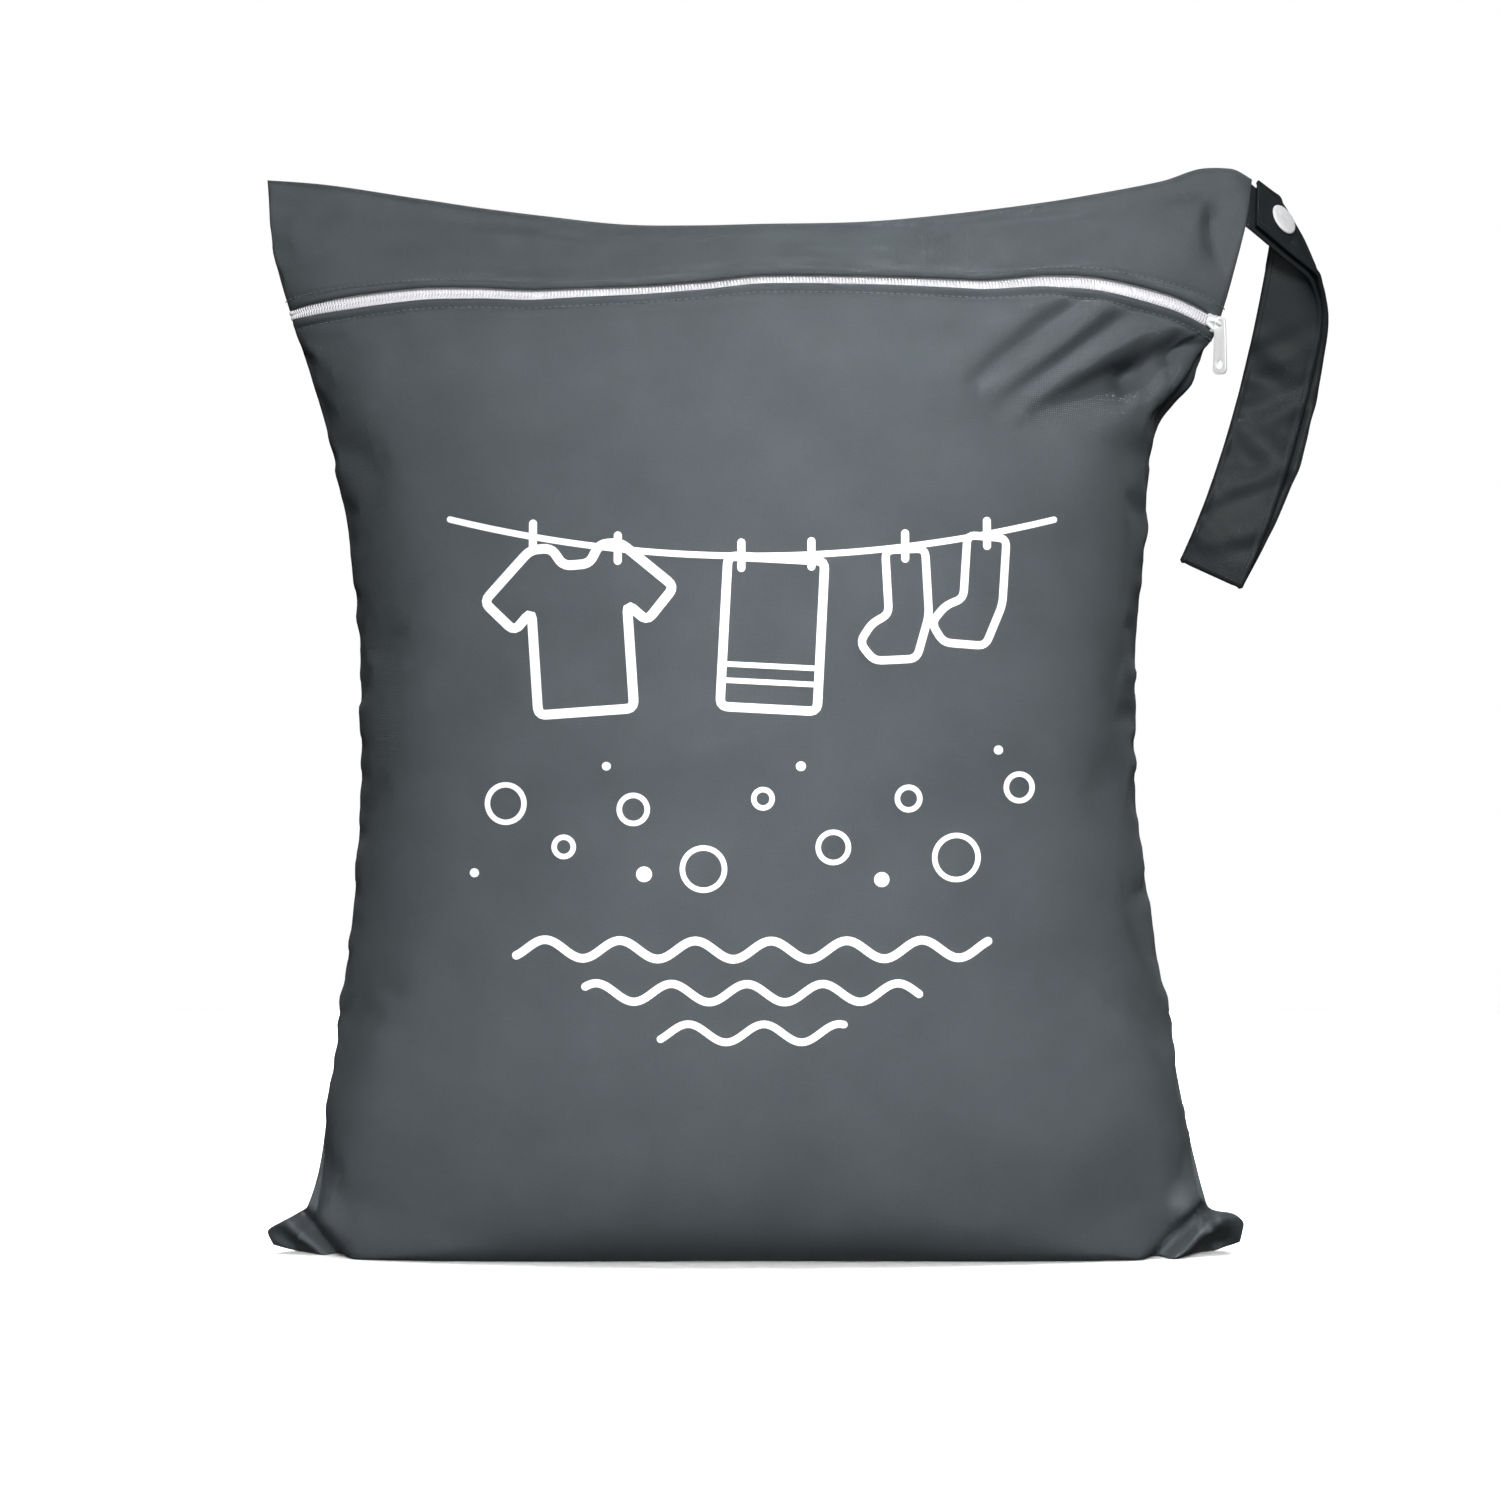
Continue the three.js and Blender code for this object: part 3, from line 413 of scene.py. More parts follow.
def quads(*corners):
    return np.stack(corners, -1).reshape(-1, 4)


def grid_quads(n):
    """Quads between the rows and columns of numbered points."""
    return quads(n[:-1, :-1], n[1:, :-1], n[1:, 1:], n[:-1, 1:])


def shell_faces(rows, columns, flip=False, ring=False):
    """Quads of a closed wall between two grids of points, the outer one first; a ring has no end rows."""
    o = np.arange(rows * columns).reshape(rows, columns)
    o = np.concatenate((o, o[:1])) if ring else o
    n = o + rows * columns
    parts = [grid_quads(o), np.roll(grid_quads(n)[:, ::-1], 1, 1)]
    parts.append(quads(o[1:, 0], o[:-1, 0], n[:-1, 0], n[1:, 0]))
    parts.append(quads(o[:-1, -1], o[1:, -1], n[1:, -1], n[:-1, -1]))
    if not ring:
        parts.append(quads(o[0, :-1], o[0, 1:], n[0, 1:], n[0, :-1]))
        parts.append(quads(o[-1, 1:], o[-1, :-1], n[-1, :-1], n[-1, 1:]))
    faces = np.concatenate(parts)
    return (faces[:, ::-1] if flip else faces).tolist()


def wall_piece(name, outer, inner, material, flip=False, flat=None):
    """Closed cloth wall between two grids of points, with its places in the flat cloth for the weave."""
    faces = shell_faces(*outer.shape[:2], flip)
    piece = new_piece(name, np.concatenate((outer, inner)), faces, material)
    if flat is not None:
        keep_attribute(piece, "cloth_mm", np.concatenate((flat, flat)))
    return piece


def row_places(first, last, step):
    """Rows from a lip's edge at first to last, close together near the edge."""
    near = first + LIP_ROWS
    count = int(math.ceil((last - near[-1]) / step))
    return np.concatenate((near, np.linspace(near[-1], last, count + 1)[1:]))


def lip_cover(lip, x):
    return between(LIP_COVER, 1 if lip > 0 else 2, x)


def lip_lift(away, cover, x, pitch, proud):
    """Height of a folded zip lip over the plain cloth, by the distance from its edge."""
    roll = -LIP["roll"] * (1 - rounded(away / LIP["roll"]))
    over = (proud + LIP["ride"] * cover) * smooth(1 - away / (LIP_STITCH + 2))
    puff = LIP["puff"] * hump(away - LIP_STITCH * 0.5, 1.4)
    dimple = 0.72 + 0.28 * np.cos(2 * math.pi * x / pitch)
    groove = -LIP["groove"] * dimple * hump(away - LIP_STITCH, 0.9)
    hem = LIP["hem"] * smooth((away - LIP_STITCH) / 1.5) * smooth((LIP["hem_end"] - away) / 5)
    return roll + over + puff + groove + hem


def grid_value(grid, across, down):
    """Values of an even grid over (down, across) at other places."""
    rows, columns = grid.shape
    r = np.clip(down / PANEL_HEIGHT, 0, 1) * (rows - 1)
    c = np.clip((across + 1) / 2, 0, 1) * (columns - 1)
    i, j = np.minimum(r.astype(int), rows - 2), np.minimum(c.astype(int), columns - 2)
    u, v = smooth(r - i), smooth(c - j)
    top = grid[i, j] * (1 - v) + grid[i, j + 1] * v
    return top * (1 - u) + (grid[i + 1, j] * (1 - v) + grid[i + 1, j + 1] * v) * u


def spread_out(grid, cells):
    """Grid blurred by a sliding mean over some cells each way."""
    for axis in (0, 1):
        wide = np.pad(grid, [(cells, cells) if k == axis else (0, 0) for k in (0, 1)], mode="edge")
        parts = [np.take(wide, np.arange(k, k + grid.shape[axis]), axis=axis) for k in range(2 * cells + 1)]
        grid = sum(parts) / len(parts)
    return grid


def bag_skin(across, down):
    """One thin skin of both panels, joined along the rim: the object, its points in mm, the point numbers of
    each panel's grid, and which places lie inside the rim."""
    start = {face: cloth_point(face, across, down) for face in FACES}
    inside = np.zeros(across.shape, bool)
    inside[1:-1, 1:-1] = True
    ids = {"front": np.arange(across.size).reshape(across.shape)}
    ids["back"] = ids["front"].copy()
    ids["back"][inside] = across.size + np.arange(inside.sum())
    seam = (start["front"] + start["back"]) / 2
    front = np.where(inside[..., None], start["front"], seam).reshape(-1, 3)
    points = np.concatenate((front, start["back"][inside]))
    faces = np.concatenate((grid_quads(ids["front"]), grid_quads(ids["back"])[:, ::-1]))
    mesh = bpy.data.meshes.new("settling")
    mesh.from_pydata((points * MM).tolist(), [], faces.tolist())
    return link_object("settling", mesh), points, ids, inside


def settled_wrinkles(scene, sizes):
    """Wrinkles of the filled bag from a cloth run: height over each panel's smooth shape. The cloth is cut
    longer than its sewn side seams and zip, so it gathers there while the filling presses it outwards."""
    rows, columns = sizes.sim_rows + 1, sizes.sim_columns + 1
    down, across = np.meshgrid(np.linspace(0, PANEL_HEIGHT, rows), np.linspace(-1, 1, columns), indexing="ij")
    skin, points, ids, inside = bag_skin(across, down)
    held = ~inside | (np.abs(down - ZIP_DROP) < GATHERS["zip_held"])
    held, across_all, down_all = (np.concatenate((v.reshape(-1), v[inside])) for v in (held, across, down))
    pins = skin.vertex_groups.new(name="sewn")
    pins.add(np.flatnonzero(held | (points[:, 2] < 0.5)).tolist(), 1.0, "REPLACE")
    taut = skin.vertex_groups.new(name="taut")
    to_side = np.abs(np.sin(across_all * math.pi / 2)) ** GATHERS["side_power"]
    to_zip = GATHERS["zip"] * hump(down_all - ZIP_DROP, GATHERS["zip_width"])
    for k, slack in enumerate(np.clip(to_side + to_zip, 0, 1)):
        taut.add([k], 1 - slack, "REPLACE")
    run = skin.modifiers.new("settling", "CLOTH")
    run.settings.shrink_min = -sizes.gather
    for key, value in CLOTH_RUN.items():
        setattr(run.settings, key, value)
    run.settings.effector_weights.gravity = 0
    run.collision_settings.use_collision = False
    run.point_cache.frame_start, run.point_cache.frame_end = 1, sizes.sim_frames
    for step in range(1, sizes.sim_frames + 1):
        scene.frame_set(step)
    settled = skin.evaluated_get(bpy.context.evaluated_depsgraph_get()).to_mesh()
    moved = np.empty(len(points) * 3, np.float32)
    settled.vertices.foreach_get("co", moved)
    moved = moved.reshape(-1, 3) / MM - points
    scene.frame_set(1)
    bpy.data.objects.remove(skin)
    heights = {}
    for face in FACES:
        rise = (moved[ids[face]] * outer_normal(face, across, down)).sum(-1)
        if not np.isfinite(rise).all():
            raise RuntimeError("The cloth run did not settle")
        rise = rise - spread_out(spread_out(rise, WRINKLE_CELLS), WRINKLE_CELLS)
        heights[face] = np.clip(rise, -sizes.wrinkle_cap, sizes.wrinkle_cap) * inside
    return heights


def corner_share(p, x, x_run, z, z_run):
    return smooth((np.abs(p[..., 0]) - x) / x_run) * smooth((z - p[..., 2]) / z_run)


def draw_corners(p, room, face):
    """Draws the lower corners of a panel a little towards the front and creases them through both layers."""
    lean = CORNER["lean"] * np.maximum(CORNER["lean_from"] - p[..., 2], -CORNER["lean_most"])
    push = -CORNER["draw"] * corner_share(p, *CORNER_DRAWN) + lean * corner_share(p, *CORNER_LEANT)
    share = 1.0 if face == "front" else smooth(1.6 - room / CORNER["layers"])
    for x1, z1, x2, z2, width, depth in CORNER_FOLDS:
        push = push + share * depth * hump(off_line(p, x1, z1, x2, z2)[0], width)
    p[..., 1] += push


def roll_side(p, face, to_seam, down):
    """Rolls the right side under the zip, where the seam lies in front and the back panel bulges past it."""
    near = smooth((down - SIDE_ROLL["from"]) / SIDE_ROLL["grow"]) * (p[..., 0] > 0)
    near = near * smooth((SIDE_ROLL["to"] - down) / SIDE_ROLL["fade"])
    p[..., 0] -= SIDE_ROLL["tuck"] * near * hump(to_seam, SIDE_ROLL["tuck_reach"])
    if face == "back":
        bulge = hump(to_seam - SIDE_BULGE["at"], SIDE_BULGE["reach"]) * smooth(to_seam / SIDE_BULGE["clear"])
        p[..., 0] += SIDE_BULGE["lift"] * near * bulge


def panel_piece(name, face, rows, sizes, wrinkles, material, lip=0):
    """Closed wall of a panel. lip is 1 for the cloth over the zip and -1 for the cloth under it."""
    across = np.linspace(-1, 1, sizes.columns + 1)
    down = rows[:, None] * np.ones_like(across)
    lift = 0.0
    if lip:
        x = shape_point(face, across, ZIP_DROP, SKIN)[..., 0]
        cover = lip_cover(lip, x)
        away = np.abs(down - (ZIP_DROP - lip * ZIP_SLOT / 2))
        down = down + lip * cover * smooth(1 - away / LIP["drag"])
        lift = lip_lift(away, cover, x, sizes.stitch_pitch, LIP_PROUD[lip])
    plain = shape_point(face, across, down, 0)
    from_side, from_top = run_length(plain, 1), run_length(plain, 0)
    to_seam = np.minimum(from_side, from_side[:, -1:] - from_side)
    lift = lift * smooth(to_seam / LIP["side"])
    if lip >= 0:
        to_seam = np.minimum(to_seam, from_top)
    if lip <= 0:
        to_seam = np.minimum(to_seam, from_top[-1:] - from_top)
    edge = rounded(to_seam / EDGE_ROUND)
    clear = EDGE_WALL + (SKIN - EDGE_WALL) * edge
    pucker = ripple(down + PUCKER["right_shift"] * (across > 0), *PUCKER_WAVES)
    pucker = pucker * smooth(to_seam / PUCKER["grow"]) * hump(to_seam, PUCKER["reach"])
    pucker = pucker * smooth((PUCKER["last"] - down) / PUCKER["fade"])
    settled = grid_value(wrinkles[face], across, down) * edge
    settled = settled * smooth((np.abs(down - ZIP_DROP) - ZIP_CALM[0]) / ZIP_CALM[1])
    outer = cloth_point(face, across, down, lift * edge + pucker + settled, clear)
    normal = unit(np.cross(np.gradient(outer, axis=0), np.gradient(outer, axis=1)))
    room = np.abs(outer[..., 1] - shape_point(face, across, down, 0, 0)[..., 1])
    wall = np.clip(0.75 * room, EDGE_WALL, CLOTH)
    inner = outer - normal * (1 if face == "front" else -1) * wall[..., None]
    inner[..., 2] = np.maximum(inner[..., 2], wall * (outer[..., 2] < 2))
    for points in (outer, inner):
        draw_corners(points, room, face)
        roll_side(points, face, to_seam, down)
    flat = np.stack((from_side - from_side[:, -1:] / 2, -down, np.zeros_like(down)), -1)
    return wall_piece(name, outer, inner, material, face == "back", flat)


def add_node(tree, kind, settings=None, inputs=None):
    """Adds a node with its settings; an input is a value or the output that feeds it."""
    node = tree.nodes.new(kind)
    for key, value in (settings or {}).items():
        setattr(node, key, value)
    for key, value in (inputs or {}).items():
        if isinstance(value, bpy.types.NodeSocket):
            tree.links.new(value, node.inputs[key])
        else:
            node.inputs[key].default_value = value
    return node


def new_material(name, inputs):
    """Material with one shader whose plain values are set on its own sockets."""
    material = bpy.data.materials.new(name)
    material.use_nodes = True
    tree = material.node_tree
    tree.nodes.clear()
    shader = add_node(tree, "ShaderNodeBsdfPrincipled", None, inputs)
    add_node(tree, "ShaderNodeOutputMaterial", None, {"Surface": shader.outputs[0]})
    return material, tree, shader


def add_relief(tree, shader, height, strength, depth=0.1):
    """Fine relief of a shader, with its depth in mm."""
    bump = add_node(
        tree, "ShaderNodeBump", None, {"Strength": strength, "Distance": depth * MM, "Height": height}
    )
    tree.links.new(bump.outputs[0], shader.inputs["Normal"])


def grained(name, inputs, grain, detail, relief, gloss=None):
    """Material with a grain in mm: a faint relief and, where gloss gives two values, an uneven gloss."""
    material, tree, shader = new_material(name, inputs)
    place = add_node(tree, "ShaderNodeTexCoord").outputs["Object"]
    noise = add_node(
        tree, "ShaderNodeTexNoise", None, {"Vector": place, "Scale": 1 / (grain * MM), "Detail": detail}
    ).outputs[0]
    if gloss:
        rough = add_node(
            tree, "ShaderNodeMapRange", None, {"Value": noise, "To Min": gloss[0], "To Max": gloss[1]}
        )
        tree.links.new(rough.outputs[0], shader.inputs["Roughness"])
    add_relief(tree, shader, noise, relief)
    return material


def coated_polyester(name, shade, light, roughness, gloss, sheen):
    """Coated polyester, woven fine and flat: matt, with a faint sheen at grazing angles and a soft thread
    grid. The real threads lie 0.3 mm apart; they are drawn at 0.9 mm so that they show."""
    material, tree, shader = new_material(
        name,
        {
            "Roughness": roughness,
            "Specular IOR Level": gloss,
            "Sheen Weight": sheen,
            "Sheen Roughness": 0.45,
            "Sheen Tint": (0.85, 0.92, 0.96, 1),
        },
    )
    place = add_node(tree, "ShaderNodeAttribute", {"attribute_name": "cloth_mm"}).outputs["Vector"]
    thread = 0.9
    threads = {
        "Vector": place,
        "Scale": math.pi / (10 * thread),
        "Distortion": 0.6,
        "Detail": 1.0,
        "Detail Scale": 0.4,
    }
    warp, weft = (
        add_node(tree, "ShaderNodeTexWave", {"bands_direction": way}, threads).outputs[1] for way in "XY"
    )
    weave = add_node(tree, "ShaderNodeMath", {"operation": "MULTIPLY"}, {0: warp, 1: weft}).outputs[0]
    fibre, cloud = (
        add_node(tree, "ShaderNodeTexNoise", None, {"Vector": place, "Scale": s, "Detail": d}).outputs[0]
        for s, d in ((1.1, 3.0), (0.03, 4.0))
    )
    tone = add_node(tree, "ShaderNodeMix", {"data_type": "FLOAT"}, {0: 0.35, 2: cloud, 3: fibre})
    spread = add_node(
        tree, "ShaderNodeMapRange", None,
        {"Value": tone.outputs[0], "From Min": 0.3, "From Max": 0.7, "To Min": 0.0, "To Max": 1.0},
    )
    colour = add_node(
        tree, "ShaderNodeMix", {"data_type": "RGBA"},
        {0: spread.outputs[0], 6: linear(shade), 7: linear(light)},
    )
    tree.links.new(colour.outputs[2], shader.inputs["Base Color"])
    height = add_node(tree, "ShaderNodeMath", {"operation": "MULTIPLY_ADD"}, {0: fibre, 1: 0.6, 2: weave})
    add_relief(tree, shader, height.outputs[0], 0.3, 0.2)
    return material


def white_plastic(name, colour, roughness, grain):
    """Moulded or drawn white plastic: bright, slightly translucent looking, with a faint uneven gloss."""
    gloss = (roughness - 0.08, roughness + 0.08)
    return grained(name, {"Base Color": linear(colour), "IOR": 1.5}, grain, 2.0, 0.08, gloss)


def nickel_plate(name, colour):
    """Zinc casting under pale satin nickel plating, with a soft gloss and fine scuffs 0.3 mm apart. Its pale
    tone is the plating's own, but it is only a quarter metallic, so its bright diffuse colour also paints the
    reflection that the plating would show.
    """
    return grained(name, {"Base Color": linear(colour), "Metallic": 0.25}, 0.3, 4.0, 0.06, (0.26, 0.44))


def printing_ink(name, colour):
    """Screen printing ink: thick opaque white with a dull skin and the faint grain of the cloth under it."""
    return grained(name, {"Base Color": linear(colour), "Roughness": 0.55}, 0.9, 2.0, 0.1)


def sewing_thread(name, colour):
    """Polyester thread: two plies twisted about 0.5 mm apart, with a dull shine."""
    material, tree, shader = new_material(
        name, {"Roughness": 0.55, "Sheen Weight": 0.2, "Base Color": linear(colour)}
    )
    place = add_node(tree, "ShaderNodeTexCoord").outputs["Object"]
    twist = add_node(
        tree, "ShaderNodeTexWave", {"bands_direction": "DIAGONAL"},
        {"Vector": place, "Scale": math.pi / (10 * 0.5 * MM)},
    )
    add_relief(tree, shader, twist.outputs[1], 0.3)
    return material


def floor_paper(name, colour):
    """Matt white paper: an even, pale ground without gloss."""
    return new_material(name, {"Base Color": linear(colour), "Roughness": 0.9})[0]


def material_of(maker, name, *values):
    """The material of that name, made once."""
    return bpy.data.materials.get(name) or maker(name, *values)


class LAUNDRYBAG_OT_cloth(bpy.types.Operator):
    """Cloth walls: front panel, band over the zip and back panel"""

    bl_idname = "laundrybag.cloth"
    bl_label = "Cloth walls"

    def execute(self, context):
        sizes, colours = context.scene.bag_sizes, context.scene.bag_colours
        cloth = material_of(
            coated_polyester, "Coated polyester", colours.cloth_shade, colours.cloth, 0.7, 0.13, 0.03
        )
        half = ZIP_SLOT / 2
        low = row_places(ZIP_DROP + half, PANEL_HEIGHT, sizes.row_step)
        high = ZIP_DROP - half - row_places(0, ZIP_DROP - half, 2.0)[::-1]
        top = np.array((0.0, 0.3, 0.8, 1.6))
        whole = np.concatenate((top, np.linspace(2.6, PANEL_HEIGHT, int(PANEL_HEIGHT / sizes.row_step))))
        wrinkles = settled_wrinkles(context.scene, sizes)
        for name, face, rows, lip, node, height in (
            ("front_cloth", "front", low, -1, "front_panel", PANEL_HEIGHT - ZIP_DROP),
            ("band_cloth", "front", high, 1, "top_band", ZIP_DROP),
            ("back_cloth", "back", whole, 0, "back_panel", PANEL_HEIGHT),
        ):
            piece = panel_piece(name, face, rows, sizes, wrinkles, cloth, lip)
            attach(piece, BODY)
            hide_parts(node)
        return {"FINISHED"}


def row_tree(name, inputs, one):
    """Node tree that sets what one builds at every pitch along a path, with X along it and Z outwards. An
    input is (name, socket type, default). It ends realized and with its material, because the export drops
    instances."""
    if name in bpy.data.node_groups:
        return bpy.data.node_groups[name]
    tree = bpy.data.node_groups.new(name, "GeometryNodeTree")
    for way in ("INPUT", "OUTPUT"):
        tree.interface.new_socket("Geometry", in_out=way, socket_type="NodeSocketGeometry")
    for label, kind, default in inputs:
        tree.interface.new_socket(label, in_out="INPUT", socket_type=kind).default_value = default
    tree.interface.new_socket("Material", in_out="INPUT", socket_type="NodeSocketMaterial")
    given = add_node(tree, "NodeGroupInput").outputs
    curve = add_node(tree, "GeometryNodeMeshToCurve", None, {"Mesh": given["Geometry"]})
    places = add_node(
        tree, "GeometryNodeResampleCurve", {"mode": "LENGTH"},
        {"Curve": curve.outputs[0], "Length": given["Pitch"]},
    )
    tangent = add_node(tree, "GeometryNodeInputTangent")
    out = add_node(tree, "GeometryNodeInputNamedAttribute", {"data_type": "FLOAT_VECTOR"}, {"Name": "out"})
    ahead = add_node(tree, "FunctionNodeAlignRotationToVector", {"axis": "X"}, {"Vector": tangent.outputs[0]})
    turn = add_node(
        tree, "FunctionNodeAlignRotationToVector", {"axis": "Z", "pivot_axis": "X"},
        {"Rotation": ahead.outputs[0], "Vector": out.outputs[0]},
    )
    row = add_node(
        tree, "GeometryNodeInstanceOnPoints", None,
        {"Points": places.outputs[0], "Rotation": turn.outputs[0], **one(tree, given)},
    )
    real = add_node(tree, "GeometryNodeRealizeInstances", None, {"Geometry": row.outputs[0]})
    even = add_node(tree, "GeometryNodeSetShadeSmooth", None, {"Geometry": real.outputs[0]})
    done = add_node(
        tree, "GeometryNodeSetMaterial", None, {"Geometry": even.outputs[0], "Material": given["Material"]}
    )
    add_node(tree, "NodeGroupOutput", None, {"Geometry": done.outputs[0]})
    return tree


def one_stitch(tree, given):
    """Slim ball that fills its share of the pitch."""
    ball = add_node(tree, "GeometryNodeMeshUVSphere", None, {"Segments": 8, "Rings": 6, "Radius": 1.0})
    length = add_node(
        tree, "ShaderNodeMath", {"operation": "MULTIPLY"}, {0: given["Pitch"], 1: given["Fill"]}
    )
    half = add_node(tree, "ShaderNodeMath", {"operation": "MULTIPLY"}, {0: length.outputs[0], 1: 0.5})
    size = add_node(
        tree, "ShaderNodeCombineXYZ", None, {"X": half.outputs[0], "Y": given["Thread"], "Z": given["Thread"]}
    )
    return {"Instance": ball.outputs[0], "Scale": size.outputs[0]}


def one_turn(tree, given):
    """Loop of monofilament that rises at the tape and leans over to the middle of the zip."""
    loop = add_node(
        tree, "GeometryNodeCurveQuadraticBezier", None,
        {"Resolution": 7, "Start": given["Foot"], "Middle": given["Crown"], "End": given["Head"]},
    )
    section = add_node(
        tree, "GeometryNodeCurvePrimitiveCircle", None, {"Resolution": 6, "Radius": given["Wire"]}
    )
    wire = add_node(
        tree, "GeometryNodeCurveToMesh", None,
        {"Curve": loop.outputs[0], "Profile Curve": section.outputs[0], "Fill Caps": True},
    )
    return {"Instance": wire.outputs[0]}


def grown_row(name, points, outs, tree, values):
    """Plain mesh of a node tree's row along points in millimetres, with an outward direction at each."""
    mesh = bpy.data.meshes.new(name)
    edges = [(i, i + 1) for i in range(len(points) - 1)]
    mesh.from_pydata((np.asarray(points) * MM).tolist(), edges, [])
    path = link_object(name, mesh)
    keep_attribute(path, "out", outs)
    growth = path.modifiers.new("growth", "NODES")
    growth.node_group = tree
    for item in tree.interface.items_tree:
        if item.item_type == "SOCKET" and item.in_out == "INPUT" and item.name in values:
            growth[item.identifier] = values[item.name]
    row = evaluated_mesh(path)
    path.modifiers.remove(growth)
    bpy.data.objects.remove(path)
    return link_piece(name, row, values["Material"])


class LAUNDRYBAG_OT_zip(bpy.types.Operator):
    """Zip: woven tape behind the slot and two meshed coils"""

    bl_idname = "laundrybag.zip"
    bl_label = "Zip tape and coil"

    def execute(self, context):
        sizes = context.scene.bag_sizes
        white = material_of(white_plastic, "Nylon coil", context.scene.bag_colours.coil, 0.42, 0.4)
        across = np.linspace(-TAPE["end"], TAPE["end"], 241)[None, :]
        down = ZIP_DROP + np.linspace(-TAPE["half"], TAPE["half"], 15)[:, None]
        outer = cloth_point("front", across, down, -(CLOTH + SEAM_GAP))
        inner = outer - TAPE["wall"] * outer_normal("front", across, down)
        tape = wall_piece("zip_tape_weave", outer, inner, white)
        point, _, _, out = zip_frame(np.linspace(-TAPE["end"], SLIDER_AT + 0.02, 300))
        middle = point - out * COIL["sunk"]
        tree = row_tree(
            "Zip coil",
            (
                ("Pitch", "NodeSocketFloat", 0.0012),
                ("Wire", "NodeSocketFloat", 0.0003),
                ("Foot", "NodeSocketVector", (0, 0, 0)),
                ("Crown", "NodeSocketVector", (0, 0, 0)),
                ("Head", "NodeSocketVector", (0, 0, 0)),
            ),
            one_turn,
        )
        rows = []
        for sign, start in ((1, 0), (-1, 1)):
            values = {"Pitch": sizes.coil_pitch * MM, "Wire": sizes.coil_wire * MM, "Material": white}
            for label in ("foot", "crown", "head"):
                x, y, z = COIL[label]
                values[label.title()] = (x * MM, sign * y * MM, z * MM)
            rows.append(grown_row("coil_row", middle[start:], out[start:], tree, values))
        coil = joined("zip_coil", rows)
        for piece, node, slot in ((tape, "zip_tape", "tape"), (coil, "zip_chain", "coil")):
            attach(piece, BODY)
            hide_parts(node)
        return {"FINISHED"}


def arc(x, y, radius, start, end, count):
    """Points of an arc, its ends given in quarter turns."""
    angle = np.linspace(start, end, count + 1) * math.pi / 2
    return list(zip(x + radius * np.cos(angle), y + radius * np.sin(angle)))


def plate_mesh(loops, thickness, bevel, matrix):
    """Flat plate with rounded edges from closed outlines in mm: the first is its rim, others are holes."""
    curve = bpy.data.curves.new("plate", "CURVE")
    curve.dimensions = "2D"
    curve.fill_mode = "BOTH"
    curve.extrude = thickness / 2 - bevel
    curve.bevel_depth = bevel
    curve.bevel_resolution = 2
    curve.offset = -bevel
    for loop in loops:
        line = curve.splines.new("POLY")
        line.points.add(len(loop) - 1)
        line.points.foreach_set("co", [c for x, y in loop for c in (x, y, 0, 1)])
        line.use_cyclic_u = True
    holder = link_object("plate", curve)
    mesh = evaluated_mesh(holder)
    bpy.data.objects.remove(holder)
    shape = bmesh.new()
    shape.from_mesh(mesh)
    return finished_shape(shape, mesh, matrix, 0.001)


def basis(x, y, z, origin):
    return Matrix([[x[i], y[i], z[i], origin[i]] for i in range(3)] + [[0, 0, 0, 1]])


def slider_meshes(place):
    """Plate of the slider, its two side rails and the bail over it."""
    half, nose, wide, corner = PLATE["length"] / 2, PLATE["nose"] / 2, PLATE["width"] / 2, PLATE["corner"]
    plate = [(-half, -nose), (-half * 0.2, -nose - 0.4), (half * 0.35, -wide)]
    plate += arc(half - corner, -wide + corner, corner, -1, 0, 6)
    plate += arc(half - corner, wide - corner, corner, 0, 1, 6)
    plate += [(half * 0.35, wide), (-half * 0.2, nose + 0.4), (-half, nose)]
    lift = Matrix.Translation((0, 0, (PLATE["top"] + PLATE["bottom"]) / 2))
    meshes = [plate_mesh([plate], PLATE["top"] - PLATE["bottom"], PLATE["bevel"], place @ lift)]
    long, thin = half * 0.45, RAIL["half"]
    rail = [(-long, -thin), (long, -thin), (long, thin), (-long, thin)]
    for sign in (1, -1):
        at = Matrix.Translation((half * 0.5, sign * (wide - thin), PLATE["bottom"] - RAIL["sunk"]))
        meshes.append(plate_mesh([rail], RAIL["height"], RAIL["bevel"], place @ at))
    wire, bend, reach = BAIL["wire"], BAIL["bend"], BAIL["span"] / 2
    rise = BAIL["top"] - PLATE["top"] + BAIL["sunk"]
    arch = [(-reach, 0)] + arc(-reach + bend, rise - bend, bend, 2, 1, 8)
    arch += arc(reach - bend, rise - bend, bend, 1, 0, 8) + [(reach, 0), (reach - wire, 0)]
    arch += arc(reach - bend, rise - bend, bend - wire, 0, 1, 6)
    arch += arc(-reach + bend, rise - bend, bend - wire, 1, 2, 6) + [(-reach + wire, 0)]
    upright = Matrix.Translation((0, 0, PLATE["top"] - BAIL["sunk"])) @ Matrix.Rotation(math.pi / 2, 4, "X")
    return meshes + [plate_mesh([arch], BAIL["width"], BAIL["bevel"], place @ upright)]


